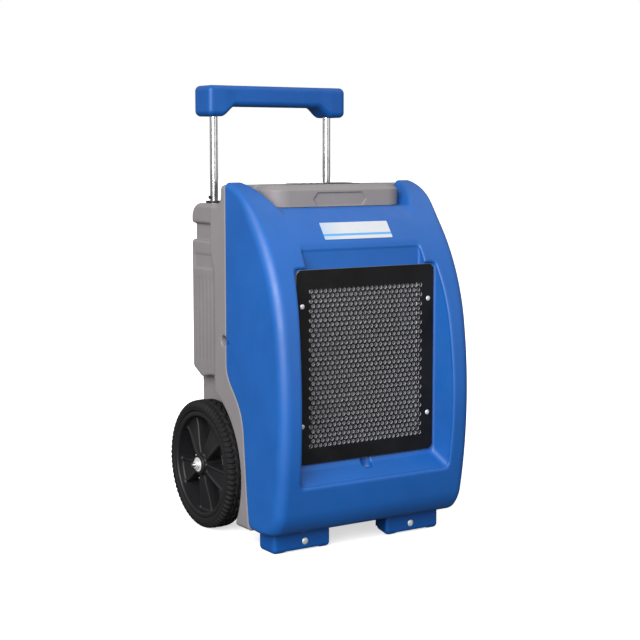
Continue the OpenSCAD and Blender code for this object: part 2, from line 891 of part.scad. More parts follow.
module snap_button_right() {
  snap_button();
}
module snap_button_left() {
  mirror([1, 0, 0]) snap_button();
}

front_shell();
rear_shell();
housing_screws();
label_plate();
grille_plate();
grille_screws();
filter_frame();
filter_mesh();
foot_left();
foot_right();
foot_brackets();
foot_screws();
base_pan();
coil_frames();
evaporator_fins();
evaporator_tubes();
condenser_fins();
condenser_tubes();
drip_tray();
condensate_pump();
drain_hoses();
drain_barb();
compressor();
compressor_grommets();
compressor_bolts();
accumulator();
refrigerant_pipes();
filter_drier();
capillary_tube();
fan_shroud();
fan_motor();
motor_bracket();
fan_shaft();
fan_blades();
outlet_grille();
electrical_box();
run_capacitor();
power_inlet();
switch_housing();
power_rocker();
control_panel();
control_board();
display_window();
button_power();
button_up();
button_down();
button_purge();
axle();
wheel_hardware();
rim_left();
rim_right();
tyre_left();
tyre_right();
tube_guides();
tube_collars();
handle_tubes();
handle_grip();
handle_screws();
snap_button_left();
snap_button_right();
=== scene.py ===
import json
import math
from functools import reduce

import bpy
import numpy as np
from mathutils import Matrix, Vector
from mathutils.geometry import delaunay_2d_cdt


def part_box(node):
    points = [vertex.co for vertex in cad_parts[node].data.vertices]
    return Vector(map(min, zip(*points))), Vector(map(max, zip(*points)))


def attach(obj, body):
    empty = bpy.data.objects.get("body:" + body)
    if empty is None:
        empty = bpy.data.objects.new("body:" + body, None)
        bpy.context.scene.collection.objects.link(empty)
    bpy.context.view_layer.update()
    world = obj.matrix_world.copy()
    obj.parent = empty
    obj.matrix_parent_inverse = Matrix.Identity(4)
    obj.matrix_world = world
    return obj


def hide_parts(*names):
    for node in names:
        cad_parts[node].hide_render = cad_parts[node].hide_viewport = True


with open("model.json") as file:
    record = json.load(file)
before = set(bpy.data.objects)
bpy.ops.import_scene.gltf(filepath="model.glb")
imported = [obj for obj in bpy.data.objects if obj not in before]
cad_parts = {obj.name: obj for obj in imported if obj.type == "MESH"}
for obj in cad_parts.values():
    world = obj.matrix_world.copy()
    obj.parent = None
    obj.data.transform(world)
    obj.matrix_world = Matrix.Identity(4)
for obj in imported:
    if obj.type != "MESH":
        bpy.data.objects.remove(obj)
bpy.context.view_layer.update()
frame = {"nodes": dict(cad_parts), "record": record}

MM = 0.001


# ---- places taken from the frame (mm)
def mm_box(node):
    low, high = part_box(node)
    return np.array(low) / MM, np.array(high) / MM


FRONT_LOW, FRONT_HIGH = mm_box("front_shell")
REAR_HIGH = mm_box("rear_shell")[1]
PLATE_LOW, PLATE_HIGH = mm_box("grille_plate")
FILTER_LOW, FILTER_HIGH = mm_box("filter_frame")
WHEEL_LOW, WHEEL_HIGH = mm_box("tyre_right")
GRIP_LOW, GRIP_HIGH = mm_box("handle_grip")
TUBES_LOW, TUBES_HIGH = mm_box("handle_tubes")
OUTLET_LOW, OUTLET_HIGH = mm_box("outlet_grille")

HALF_W = FRONT_HIGH[0]
BOTTOM = FRONT_LOW[2]
WHEEL_C = (WHEEL_LOW + WHEEL_HIGH) / 2
FLOOR_Y = PLATE_HIGH[1]

# Front outline seen from the side: arcs that run into each other, each with
# a radius and the heading, measured from straight up, at which it ends.
ARC_R = (74.0, 950.6, 407.2, 138.4)
HEADING = (-57.7, -11.2, 9.0, 44.9, 85.9)
OUTLINE_START = np.array([-174.9, 37.9])
EDGE_R = 21.0
WALL = 6.0

# Shells: Y and Z are places, HW is a half width, R a radius
SEAM_Y, SEAM_GAP = -22.0, 0.35
NOSE_HW, NOSE_Y, NOSE_Z, NOSE_ROUND = 152.0, -89.0, 635.4, 40.0
KNEE_Z, BEVEL_Y = 667.0, -76.0
SHELF_Z = 634.8
VALLEY_HW, VALLEY_SLOPE = 148.0, 0.64
DECK_Z = 677.0
STEP_Z = 640.0
WIDE_REAR = 41.0
ARCH_R = 172.0
BOX_HW = REAR_HIGH[0] - 43.0
LOWER_HW = 150.0
LOWER_TOP = 287.0
BOX_REAR = REAR_HIGH[1]
BOX_TOP = 637.0

# Openings and the parts that sit in them
POCKET_Y, POCKET_Z = -14.0, 385.0
INLET_X, SWITCH_X, SOCKET_Z, ROCKER_Y = -36.0, -90.0, 220.0, 192.0
HOSE_X, HOSE_Z = -80.0, 100.0
KEY_Y = -29.0
AXLE_HOLE_R, TUBE_HOLE_R = 8.05, 8.05
TUBE_X, TUBE_Y, SNAP_Z = TUBES_HIGH[0] - 8, TUBES_LOW[1] + 8, 648.0


# ---- distance fields
def smax(a, b, k):
    """Intersection whose edge is blended over a width k; smin is the union."""
    return np.maximum(a, b) + np.maximum(k - np.abs(a - b), 0) ** 2 / (4 * k)


def smin(a, b, k):
    return np.minimum(a, b) - np.maximum(k - np.abs(a - b), 0) ** 2 / (4 * k)


def round_edge(a, b, r):
    """Intersection of two solids whose common edge has radius r."""
    a2, b2 = a + r, b + r
    outside = np.sqrt(np.maximum(a2, 0) ** 2 + np.maximum(b2, 0) ** 2)
    return np.minimum(np.maximum(a2, b2), 0) + outside - r


def smooth(t):
    t = np.clip(t, 0, 1)
    return t * t * (3 - 2 * t)


def both(*fields):
    """Sharp intersection of any number of solids."""
    return reduce(np.maximum, fields)


def either(*fields):
    """Sharp union of any number of solids."""
    return reduce(np.minimum, fields)


def slab(v, low, high):
    """Everything between two parallel planes."""
    return np.maximum(low - v, v - high)


def beam(u, v, half_u, half_v):
    """Endless rectangular beam, seen along its length."""
    return np.maximum(np.abs(u) - half_u, np.abs(v) - half_v)


def from_axle(y, z):
    return np.hypot(y - WHEEL_C[1], z - WHEEL_C[2])


def heading_normal(t):
    t = math.radians(t)
    return np.array([-math.cos(t), math.sin(t)])


def arc_centres():
    centres = [OUTLINE_START - ARC_R[0] * heading_normal(HEADING[0])]
    for i in range(1, len(ARC_R)):
        centres.append(centres[-1] + (ARC_R[i - 1] - ARC_R[i]) * heading_normal(HEADING[i]))
    return centres


CENTRES = arc_centres()


def outline(y, z):
    """Distance to the curved front, seen from the side."""

    def arc(i):
        return np.hypot(y - CENTRES[i][0], z - CENTRES[i][1]) - ARC_R[i]

    def heading(i):
        return np.degrees(np.arctan2(z - CENTRES[i][1], -(y - CENTRES[i][0])))

    d = np.where(heading(1) < HEADING[1], arc(0), arc(1))
    upper = np.where(heading(2) > HEADING[3], arc(3), arc(2))
    above = (heading(1) > HEADING[2]) & (z > CENTRES[1][1])
    return np.where(above, upper, d)


def bezier(points, n):
    t = np.linspace(0, 1, n)[:, None]
    a, b, c, d = [np.array(p, float) for p in points]
    u = 1 - t
    return u ** 3 * a + 3 * u * u * t * b + 3 * u * t * t * c + t ** 3 * d


# Seam between the shells: straight down, then forward round the wheel arch
SEAM_LINE = np.vstack([
    [[SEAM_Y, 2000], [SEAM_Y, 345]],
    bezier([(SEAM_Y, 340), (-24, 295), (-78, 290), (-85, 215)], 20),
    bezier([(-85, 215), (-90, 165), (-94, 110), (-104, BOTTOM)], 12)[1:],
    [[-112, 0]],
])[::-1]


def behind_seam(y, z):
    """Distance to the seam surface, negative in front of it."""
    seam = np.interp(z, SEAM_LINE[:, 1], SEAM_LINE[:, 0])
    slope = np.gradient(SEAM_LINE[:, 0], SEAM_LINE[:, 1])
    lean = np.interp(z, SEAM_LINE[:, 1], slope)
    return (y - seam) / np.sqrt(1 + lean ** 2)


def nose_field(x, y, z, inset=0.0):
    """The grey nose: upright round-cornered face, bevel all round and the control deck."""
    plan = round_edge(NOSE_Y - y, np.abs(x) - NOSE_HW, NOSE_ROUND)
    slope = (BEVEL_Y - NOSE_Y) / (DECK_Z - KNEE_Z)
    bevel = (plan + slope * (z - KNEE_Z)) / math.hypot(1, slope)
    d = smax(plan, bevel, 1.2)
    d = smax(d, z - DECK_Z, 2.5)
    return both(d, valley_field(x, z) + 0.6) + inset


def valley_field(x, z):
    """Everything above the shelf between the horns' slanted inner sides."""
    flank = (np.abs(x) - VALLEY_HW - VALLEY_SLOPE * (z - SHELF_Z)) * 0.842
    return smax(flank, SHELF_Z - z, 3)


# ---- mesh from a distance field
CORNERS = np.array([(i, j, k) for i in (0, 1) for j in (0, 1) for k in (0, 1)])
CELL_EDGES = [(a, b) for a in range(8) for b in range(a + 1, 8)
              if np.abs(CORNERS[a] - CORNERS[b]).sum() == 1]


def gradient(field, p, h=0.05):
    g = np.empty_like(p)
    for axis in range(3):
        step = np.zeros(3)
        step[axis] = h
        hi, lo = p + step, p - step
        g[:, axis] = (field(*hi.T) - field(*lo.T)) / (2 * h)
    return g


def net(field, low, high, step, passes=3):
    """Quad mesh of the surface field = 0 inside a box (surface nets), in mm."""
    low, high = np.array(low, float), np.array(high, float)
    count = np.ceil((high - low) / step).astype(int) + 1
    axes = [low[i] + step * np.arange(count[i]) for i in range(3)]
    d = np.empty(count, np.float32)
    for start in range(0, count[0], 24):
        part = axes[0][start:start + 24]
        d[start:start + 24] = field(
            part[:, None, None], axes[1][None, :, None], axes[2][None, None, :])
    inside = d < 0
    total = sum(
        inside[i:count[0] - 1 + i, j:count[1] - 1 + j, k:count[2] - 1 + k].astype(np.int8)
        for i, j, k in CORNERS)
    cells = np.argwhere((total > 0) & (total < 8))
    ids = np.full(count - 1, -1, np.int64)
    ids[tuple(cells.T)] = np.arange(len(cells))
    values = np.stack([d[tuple((cells + c).T)] for c in CORNERS], 1).astype(float)
    place = np.zeros((len(cells), 3))
    hits = np.zeros(len(cells))
    for a, b in CELL_EDGES:
        va, vb = values[:, a], values[:, b]
        cross = (va < 0) != (vb < 0)
        t = np.where(cross, va / np.where(cross, va - vb, 1), 0)
        point = CORNERS[a] + t[:, None] * (CORNERS[b] - CORNERS[a])
        place += point * cross[:, None]
        hits += cross
    verts = low + step * (cells + place / hits[:, None])
    for _ in range(passes):
        g = gradient(field, verts)
        size = (g ** 2).sum(1)
        move = -(field(*verts.T) / np.maximum(size, 0.1))[:, None] * g
        length = np.sqrt((move ** 2).sum(1))
        move *= np.minimum(1, 0.6 * step / np.maximum(length, 1e-9))[:, None]
        verts += move
    quads = []
    for axis in range(3):
        u, v = [a for a in range(3) if a != axis]
        lo = [slice(1, n - 1) for n in count]
        lo[axis] = slice(0, count[axis] - 1)
        hi = list(lo)
        hi[axis] = slice(1, count[axis])
        first, second = inside[tuple(lo)], inside[tuple(hi)]
        where = np.argwhere(first != second)
        leaving = first[tuple(where.T)]
        base = where + np.array([0 if a == axis else 1 for a in range(3)])
        ring = []
        for du, dv in ((-1, -1), (0, -1), (0, 0), (-1, 0)):
            c = base.copy()
            c[:, u] += du
            c[:, v] += dv
            ring.append(ids[tuple(c.T)])
        q = np.stack(ring, 1)
        flip = leaving if axis == 1 else ~leaving
        q[flip] = q[flip][:, ::-1]
        quads.append(q)
    return verts, np.vstack(quads)


# ---- plain mesh builders
def grid_quads(n, m, wrap_n=False, wrap_m=False):
    """Quads that join an n by m grid of points."""
    i, j = np.meshgrid(np.arange(n if wrap_n else n - 1), np.arange(m if wrap_m else m - 1),
                       indexing="ij")
    i, j = i.ravel(), j.ravel()
    i2, j2 = (i + 1) % n, (j + 1) % m
    return np.stack([i * m + j, i2 * m + j, i2 * m + j2, i * m + j2], 1)


def revolve(profile, centre, axis, turns=64, height=None):
    """Turns a closed profile of (along, radius) points round an axis."""
    profile = np.array(profile, float)
    theta = np.linspace(0, 2 * math.pi, turns, endpoint=False)[:, None]
    along = np.repeat(profile[None, :, 0], turns, 0)
    radius = np.repeat(profile[None, :, 1], turns, 0)
    if height is not None:
        radius = radius + height(theta, along, radius)
    u, v = radius * np.cos(theta), radius * np.sin(theta)
    grid = {"x": (along, u, v), "y": (u, along, v), "z": (u, v, along)}[axis]
    verts = np.stack(grid, -1).reshape(-1, 3) + np.array(centre, float)
    return verts, grid_quads(turns, len(profile), True, True)


def extrude_x(profile, x0, x1):
    """A closed profile of (y, z) points drawn out along X, with flat ends."""
    profile = np.array(profile, float)
    n = len(profile)
    verts = np.array([[x, y, z] for x in (x0, x1) for y, z in profile])
    middle = [[x, *profile.mean(0)] for x in (x0, x1)]
    verts = np.vstack([verts, middle])
    sides = np.array([[i, (i + 1) % n, n + (i + 1) % n, n + i] for i in range(n)])
    ends = [[2 * n, (i + 1) % n, i] for i in range(n)]
    ends += [[2 * n + 1, n + i, n + (i + 1) % n] for i in range(n)]
    return verts, [sides, np.array(ends)]


def round_corners(steps, points):
    """The quadrant's signs and the direction (cosine, sine) at each point of four arcs."""
    for k, (su, sv) in enumerate(((1, 1), (-1, 1), (-1, -1), (1, -1))):
        for i in range(points):
            t = math.radians(90 * k + 90 * i / steps)
            yield su, sv, math.cos(t), math.sin(t)


def rounded_profile(cy, cz, half_y, half_z, r, turn=0.0, steps=4):
    """Rounded rectangle in Y and Z, turned about X by an angle in degrees."""
    points = [(sy * (half_y - r) + r * dy, sz * (half_z - r) + r * dz)
              for sy, sz, dy, dz in round_corners(steps, steps + 1)]
    c, q = math.cos(math.radians(turn)), math.sin(math.radians(turn))
    return [(cy + c * y - q * z, cz + q * y + c * z) for y, z in points]


def frame_sweep(profile, half_w, z0, z1, corner=0.0, steps=8):
    """A profile of (inset, y) points swept round a rectangle in the XZ plane."""
    rows = []
    for sx, sz, dx, dz in round_corners(steps, steps + 1 if corner else 1):
        if not corner:
            dx, dz = sx, sz
        for inset, y in profile:
            rows.append((sx * (half_w - corner) + (corner - inset) * dx, y,
                         (z0 + z1) / 2 + sz * ((z1 - z0) / 2 - corner) + (corner - inset) * dz))
    return np.array(rows), grid_quads(len(rows) // len(profile), len(profile), True, True)


def as_groups(faces):
    return [np.asarray(g, np.int64) for g in (faces if isinstance(faces, list) else [faces])]


def combine(*parts):
    """Several meshes as one."""
    verts, groups, offset = [], [], 0
    for v, faces in parts:
        verts.append(v)
        groups += [g + offset for g in as_groups(faces)]
        offset += len(v)
    return np.vstack(verts), groups


def mirrored(part):
    verts, faces = part
    return np.asarray(verts) * (-1, 1, 1), [g[:, ::-1] for g in as_groups(faces)]


def both_sides(part):
    return combine(part, mirrored(part))


def moved(part, offset):
    return np.asarray(part[0]) + np.array(offset, float), part[1]


def signed_volume(verts, groups):
    total = 0.0
    for g in groups:
        for k in range(1, g.shape[1] - 1):
            a, b, c = verts[g[:, 0]], verts[g[:, k]], verts[g[:, k + 1]]
            total += np.einsum("ij,ij->i", a, np.cross(b, c)).sum() / 6
    return total


# ---- Blender objects
def make_object(name, verts, faces, sharp=None, scale=MM):
    groups = as_groups(faces)
    verts = np.asarray(verts, float) * scale
    if signed_volume(verts, groups) < 0:
        groups = [g[:, ::-1] for g in groups]
    sizes = np.concatenate([np.full(len(g), g.shape[1]) for g in groups])
    loops = np.concatenate([g.ravel() for g in groups])
    mesh = bpy.data.meshes.new(name)
    mesh.vertices.add(len(verts))
    mesh.vertices.foreach_set("co", verts.ravel())
    mesh.loops.add(len(loops))
    mesh.loops.foreach_set("vertex_index", loops.astype(np.int32))
    mesh.polygons.add(len(sizes))
    starts = np.concatenate([[0], np.cumsum(sizes)[:-1]])
    mesh.polygons.foreach_set("loop_start", starts.astype(np.int32))
    mesh.update(calc_edges=True)
    mesh.validate()
    mesh.polygons.foreach_set("use_smooth", [True] * len(mesh.polygons))
    if sharp is not None:
        mesh.set_sharp_from_angle(angle=math.radians(sharp))
    obj = bpy.data.objects.new(name, mesh)
    bpy.context.collection.objects.link(obj)
    return obj


BODY_OF = {node: body for body, nodes in frame["record"]["behaviour"]["bodies"].items()
           for node in nodes}


def piece(name, part, node, sharp=None):
    """A finished mesh that stands for a CAD node and takes its body and finish."""
    obj = make_object(name, *part, sharp)
    slot = SLOT_OF[node]
    obj.data.materials.append(MATERIALS[slot])
    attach(obj, BODY_OF[node])
    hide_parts(node)


def pair(name, part, node):
    """One mesh for a right-hand CAD node and, mirrored, for its left-hand twin."""
    piece(name + "_right", part, node + "_right")
    piece(name + "_left", mirrored(part), node + "_left")


def solid(field, low, high, step):
    return net(field, low, high, step * (1))


# ---- materials
def srgb(r, g, b):
    return tuple(((v / 255 + 0.055) / 1.055) ** 2.4 for v in (r, g, b)) + (1.0,)


class Look:
    """A small helper that builds a node tree in object space."""

    def __init__(self, name):
        self.material = bpy.data.materials.new(name)
        self.material.use_nodes = True
        self.nodes = self.material.node_tree.nodes
        self.links = self.material.node_tree.links
        self.shader = self.nodes["Principled BSDF"]
        self.coords = self.nodes.new("ShaderNodeTexCoord").outputs["Object"]

    def link(self, a, b):
        self.links.new(a, b)

    def fill(self, socket, value):
        """Sets a socket to a plain value or links it to another node's output."""
        if isinstance(value, (int, float, tuple)):
            socket.default_value = value
        else:
            self.link(value, socket)

    def add(self, kind, **values):
        """A new node with the named inputs filled."""
        node = self.nodes.new("ShaderNode" + kind)
        for name, value in values.items():
            self.fill(node.inputs[name.replace("_", " ")], value)
        return node

    def noise(self, scale, detail=4, rough=0.55, stretch=(1, 1, 1)):
        place = self.add("Mapping", Scale=stretch, Vector=self.coords).outputs[0]
        node = self.add("TexNoise", Scale=scale, Detail=detail, Roughness=rough, Vector=place)
        return node.outputs["Fac"]

    def remap(self, value, low, high, out_low, out_high):
        node = self.add("MapRange", From_Min=low, From_Max=high, To_Min=out_low,
                        To_Max=out_high, Value=value)
        return node.outputs["Result"]

    def mix(self, factor, a, b):
        node = self.add("Mix")
        node.data_type = "RGBA"
        for socket, value in (("Factor", factor), (6, a), (7, b)):
            self.fill(node.inputs[socket], value)
        return node.outputs[2]

    def math(self, operation, *values):
        node = self.add("Math")
        node.operation = operation
        for socket, value in zip(node.inputs, values):
            self.link(value, socket)
        return node.outputs[0]

    def bump(self, height, strength, distance, under=None):
        node = self.add("Bump", Strength=strength, Distance=distance, Height=height)
        if under is not None:
            self.link(under, node.inputs["Normal"])
        return node.outputs["Normal"]

    def set(self, **values):
        for name, value in values.items():
            self.fill(self.shader.inputs[name.replace("_", " ")], value)


def moulded(name, base, tint, roughness, peel=0.2, specular=0.5):
    """Moulded plastic: faint colour clouds, fine orange peel, uneven gloss."""
    look = Look(name)
    clouds = look.noise(9, 5)
    color = look.mix(look.remap(clouds, 0.35, 0.7, 0, 1), srgb(*base), srgb(*tint))
    grain = look.noise(650, 3)
    waves = look.noise(38, 2)
    normal = look.bump(grain, peel, 0.0002)
    normal = look.bump(waves, 0.12, 0.0006, normal)
    rough = look.remap(look.noise(24, 6), 0.3, 0.7, roughness - 0.05, roughness + 0.07)
    look.set(Base_Color=color, Roughness=rough, Normal=normal, Specular_IOR_Level=specular)
    return look.material


def metal(name, base, roughness, brushed=0.0, stretch=(1, 1, 40), metallic=1.0):
    """Metal with fine lines or a cloudy sheen."""
    look = Look(name)
    lines = look.noise(60, 6, 0.7, stretch)
    clouds = look.noise(30, 5)
    base = srgb(*base)
    dark = tuple(v * 0.72 for v in base[:3]) + (1.0,)
    color = look.mix(look.remap(clouds, 0.35, 0.75, 0, 1), base, dark)
    rough = look.remap(lines, 0.3, 0.7, max(roughness - 0.06, 0.02), roughness + 0.1)
    look.set(Base_Color=color, Metallic=metallic, Roughness=rough,
             Normal=look.bump(lines, 0.05 + brushed, 0.0003))
    return look.material


def painted(name, base, roughness, peel=0.25, cut=None):
    """Powder coat on steel; cut is a light colour painted on the faces that face sideways, the
    punched hole walls, as a painted highlight on the hole rims.
    """
    look = Look(name)
    pebble = look.noise(900, 2, 0.5)
    clouds = look.noise(14, 6)
    base = srgb(*base)
    light = tuple(min(1, v * 2.2 + 0.004) for v in base[:3]) + (1.0,)
    color = look.mix(look.remap(clouds, 0.4, 0.8, 0, 1), base, light)
    # painted highlight: faces that face sideways, the hole walls, take the light colour
    if cut is not None:
        facing = look.add("SeparateXYZ", Vector=look.add("NewGeometry").outputs["True Normal"])
        upright = look.math("ABSOLUTE", facing.outputs["Y"])
        color = look.mix(look.remap(upright, 0.5, 0.9, 1, 0), color, srgb(*cut))
    rough = look.remap(clouds, 0.3, 0.7, roughness - 0.05, roughness + 0.08)
    look.set(Base_Color=color, Roughness=rough, Normal=look.bump(pebble, peel, 0.0002),
             Specular_IOR_Level=0.25)
    return look.material


def label_look(name):
    """White sticker with a plain pale stripe and a soft tint towards one end."""
    look = Look(name)
    place = look.add("SeparateXYZ", Vector=look.coords)
    tint = look.remap(place.outputs["X"], -0.074, -0.03, 0.35, 0)
    color = look.mix(tint, srgb(196, 199, 203), srgb(108, 164, 210))
    stripe = look.math("MULTIPLY", look.remap(place.outputs["Z"], 0.5835, 0.5840, 0, 1),
                       look.remap(place.outputs["Z"], 0.5875, 0.5880, 1, 0))
    color = look.mix(stripe, color, srgb(92, 158, 212))
    rough = look.remap(look.noise(60, 4), 0.3, 0.7, 0.25, 0.4)
    look.set(Base_Color=color, Roughness=rough, Specular_IOR_Level=0.3)
    return look.material


# Finishes of the material slots, each with its sRGB colours, roughness and further settings
FINISHES = {
    "blue_shell": (moulded, (9, 89, 169), (6, 84, 161), 0.48, 0.2, 0.65),
    "blue_part": (moulded, (6, 81, 157), (4, 74, 148), 0.44, 0.2, 0.4),
    "grey_shell": (moulded, (136, 132, 134), (129, 125, 127), 0.44, 0.2, 0.3),
    "label": (label_look,),
    "black_plastic": (moulded, (30, 30, 33), (24, 24, 27), 0.45),
    "tray_plastic": (moulded, (72, 74, 79), (64, 66, 71), 0.5),
    "rim_plastic": (moulded, (31, 30, 32), (25, 24, 26), 0.45, 0.32, 0.35),
    "tyre_rubber": (moulded, (24, 23, 25), (31, 30, 32), 0.7, 0.6, 0.2),
    "grommet_rubber": (moulded, (34, 34, 34), (28, 28, 28), 0.7),
    "button_grey": (moulded, (186, 188, 192), (176, 178, 182), 0.45),
    "rocker_red": (moulded, (150, 26, 22), (140, 22, 20), 0.3),
    "display_glass": (moulded, (28, 36, 40), (22, 30, 34), 0.08, 0.0),
    "board_green": (moulded, (26, 96, 60), (20, 84, 52), 0.4),
    "clear_hose": (moulded, (200, 204, 198), (190, 194, 188), 0.3),
    # the last colour is a painted highlight on the sideways faces of the plate's holes
    "black_steel": (painted, (8, 8, 10), 0.5, 0.25, (150, 150, 154)),
    "black_paint": (painted, (26, 26, 28), 0.3, 0.1),
    "screw_steel": (metal, (240, 240, 242), 0.36, 0.0, (1, 1, 40), 0.35),
    "coated_screw": (moulded, (8, 82, 158), (6, 75, 148), 0.4),
    "filter_alu": (metal, (225, 226, 228), 0.3, 0.1),
    "mesh_alu": (metal, (224, 224, 228), 0.5, 0.0, (1, 1, 40), 0.35),
    "galvanised": (metal, (176, 180, 184), 0.38),
    "fin_alu": (metal, (205, 208, 212), 0.3),
    "copper": (metal, (206, 128, 88), 0.28),
    "chrome_tube": (metal, (238, 238, 240), 0.13, 0.0, (1, 1, 1)),
    "axle_steel": (metal, (186, 186, 190), 0.28),
    "capacitor_alu": (metal, (198, 200, 204), 0.3),
}
MATERIALS = {slot: make(slot, *values) for slot, (make, *values) in FINISHES.items()}
SLOT_OF = {s["node"]: s["material_slot"] for s in frame["record"]["subparts"]}


def dress_cad_nodes():
    for name, obj in frame["nodes"].items():
        material = MATERIALS[SLOT_OF[name]]
        obj.data.materials.clear()
        obj.data.materials.append(material)


# ---- front shell
RECESS_LOW_Z, RECESS_TOP_Z = 160.0, 530.0
RECESS_HW, SIDE_FLARE, LEDGE_SLOPE = 158.0, 0.263, 0.673
SLOT_HW = 131.0
SLOT_Y = FLOOR_Y + 16


def recess_field(x, y, z):
    """The hollow in the front that holds the plate, and the slot above it."""
    deep = np.maximum(FLOOR_Y - y, -5)
    side = (np.abs(x) - (RECESS_HW + SIDE_FLARE * deep)) * 0.967
    ledge = (RECESS_LOW_Z - LEDGE_SLOPE * deep - z) * 0.83
    pocket = smax(smax(side, ledge, 12), z - RECESS_TOP_Z, 9)
    pocket = smax(pocket, y - FLOOR_Y, 5)
    slot = smax(smax(np.abs(x) - SLOT_HW - 2, z - 600, 5), 168 - z, 5)
    slot = smax(slot, y - SLOT_Y, 6)
    notch = smax(np.hypot(x, y - FLOOR_Y + 1) - 10, slab(z, 146, 175), 6)
    return smin(np.minimum(pocket, slot), notch, 2)


def front_solid(x, y, z):
    """The front body without its recess: curved front, horns, and the valley for the nose."""
    valley = valley_field(x, z)
    scoop = 4.5 * smooth(1 - np.maximum(valley, 0) / 26) * smooth((z - 600) / 14)
    scoop = scoop * smooth((152 - np.abs(x)) / 18)
    d = outline(y, z) + scoop + 0.35  # keeps the skin inside the CAD's box
    d = round_edge(d, np.abs(x) - HALF_W, EDGE_R - 11 * smooth((z - 600) / 70))
    d = smax(d, -valley, 4.5)
    return round_edge(d, BOTTOM - z, 12.0)


def front_field(x, y, z):
    """Front shell: outer skin, walls of the recess, and the air inlet behind the plate."""
    body = front_solid(x, y, z)
    recess = recess_field(x, y, z)
    skin = both(body, -(body + WALL))
    wall = both(recess - WALL, -recess, body + 1, y + 145)
    skin = smax(either(skin, wall), -recess, 5)
    skin = smax(skin, behind_seam(y, z) + SEAM_GAP, 2.5)
    inlet = both(slab(x, -122, 122), slab(z, 192, 500), y + 140)
    return smax(skin, -inlet, 2)


# ---- rear shell
def rear_solid(x, y, z, inset=0.0):
    """The grey body: full-width part, stepped box with its groove, and wheel arches."""
    ax = np.abs(x)
    # Full-width part: a tall front strip that flares down to the shelf
    strip = round_edge(y - (-1 - inset), z - (DECK_Z - inset), 9)
    shelf = round_edge(y - (WIDE_REAR - inset), z - (STEP_Z - inset), 6)
    wide = smin(strip, shelf, 26)
    soft = smooth((560 - z) / 60)
    wide = round_edge(wide, ax - (HALF_W - inset), 9 + 15 * soft)
    upper = round_edge(y - (BOX_REAR - inset), z - (BOX_TOP - inset), 28)
    upper = round_edge(upper, ax - (BOX_HW - inset), 9)
    upper = smax(upper, LOWER_TOP + inset - z + 0.5 * np.maximum(y - 150, 0), 8)
    lower = round_edge(y - (BOX_REAR - inset), z - 600, 10)
    lower = round_edge(lower, ax - (LOWER_HW - inset), 12)
    core = both(ax - (BOX_HW - 8 - inset), y - (BOX_REAR - 8 - inset))
    groove = both(slab(z, 565 - inset, 597 + inset), (WIDE_REAR - inset) - y, -core)
    box = smax(either(upper, lower), -groove, 7)
    arch = from_axle(y, z) - (ARCH_R + inset)
    well = both(arch, (LOWER_HW - inset) - ax)
    body = smin(wide, box, 5 + 27 * soft)
    body = smax(body, -well, 6)
    return round_edge(body, BOTTOM - z + inset, 8)


def rear_details(x, y, z):
    """Depth of the shallow flutes and panels in the box's sides and back."""
    ax = np.abs(x)
    beside = smooth((ax - 160) / 4) * smooth((y - 60) / 4) * smooth((182 - y) / 4)
    flute = 0.5 + 0.5 * np.cos((y - 60) * 2 * math.pi / 15)
    tall = smooth((z - 322) / 6) * smooth((494 - z) / 6)
    band = smooth((z - 506) / 6) * smooth((540 - z) / 6)
    return beside * (0.6 * flute * tall + 1.6 * band)


def rear_field(x, y, z):
    """Rear shell with the nose, its back walls, the openings and the side screw pockets."""
    ax = np.abs(x)
    body = rear_solid(x, y, z) + rear_details(x, y, z)
    seam = SEAM_GAP - behind_seam(y, z)
    skin = smax(both(body, -rear_solid(x, y, z, WALL)), seam, 2.5)
    nose = smax(nose_field(x, y, z), -both(hexagon_field(x, z), y - NOSE_Y - 2.6), 0.6)
    nose = both(nose, -nose_field(x, y, z, WALL), NOSE_Z - z, y - SEAM_Y - 4)
    back = both(slab(ax, NOSE_HW - 8, HALF_W - 2), slab(y, SEAM_Y, SEAM_Y + WALL),
                slab(z, SHELF_Z - WALL, DECK_Z - 2))
    skin = smin(skin, smin(back, nose, 6), 1.5)
    deck = both(slab(x, -66, 66), slab(y, -50, -8), 660 - z)
    axle = both(from_axle(y, z) - 8.6, 140 - ax)
    tube = both(np.hypot(ax - TUBE_X, y - TUBE_Y) - 14.2, 620 - z)
    outlet = both(slab(x, -112, 112), slab(z, 308, 512))
    socket = beam(x - INLET_X, z - SOCKET_Z, 24.4, 15.4)
    switch = beam(x - SWITCH_X, z - SOCKET_Z, 15.4, 15.4)
    hose = np.hypot(x - HOSE_X, z - HOSE_Z) - 7.3
    behind = both(either(outlet, socket, switch, hose), 180 - y)
    skin = both(skin, -either(deck, axle, tube, behind))
    pocket = np.hypot(y - POCKET_Y, z - POCKET_Z)
    cup = both(pocket - 13.5, slab(ax, HALF_W - 27, HALF_W - 2), seam)
    return smax(either(skin, cup), -both(pocket - 10, HALF_W - 23 - ax), 1.5)


def hexagon_field(x, z):
    """In-plane distance to the long hexagon pressed into the nose's face."""
    v = np.abs(z - 649.5)
    return both(v - 12.5, (np.abs(x) - 60.5 + v * 0.8) * 0.78)


def nose_part(y, z):
    """Space of the nose, which is meshed more finely than the rest of the rear shell."""
    return both(y + 55, 520 - z)


def rear_body_field(x, y, z):
    return both(rear_field(x, y, z), 0.05 - nose_part(y, z))


def nose_front_field(x, y, z):
    return both(rear_field(x, y, z), nose_part(y, z) + 0.05)


# ---- plate, filter and label
HOLE_PITCH, ROW_PITCH, HOLE_R, SCREW_HOLE_R = 10.3, 8.9, 3.65, 2.75
PLATE_ROWS = int((490 - 199) / ROW_PITCH) + 1
PLATE_MID_Z = 344.5
SCREWS = [(x, z) for x in (-142, 142) for z in (239.5, 460)]


def hole_centres():
    columns = int(250 / HOLE_PITCH)
    centres = []
    for row in range(PLATE_ROWS):
        last = columns - row % 2
        for k in range(last + 1):
            centres.append(((k - last / 2) * HOLE_PITCH,
                            PLATE_MID_Z + (row - (PLATE_ROWS - 1) / 2) * ROW_PITCH))
    return centres


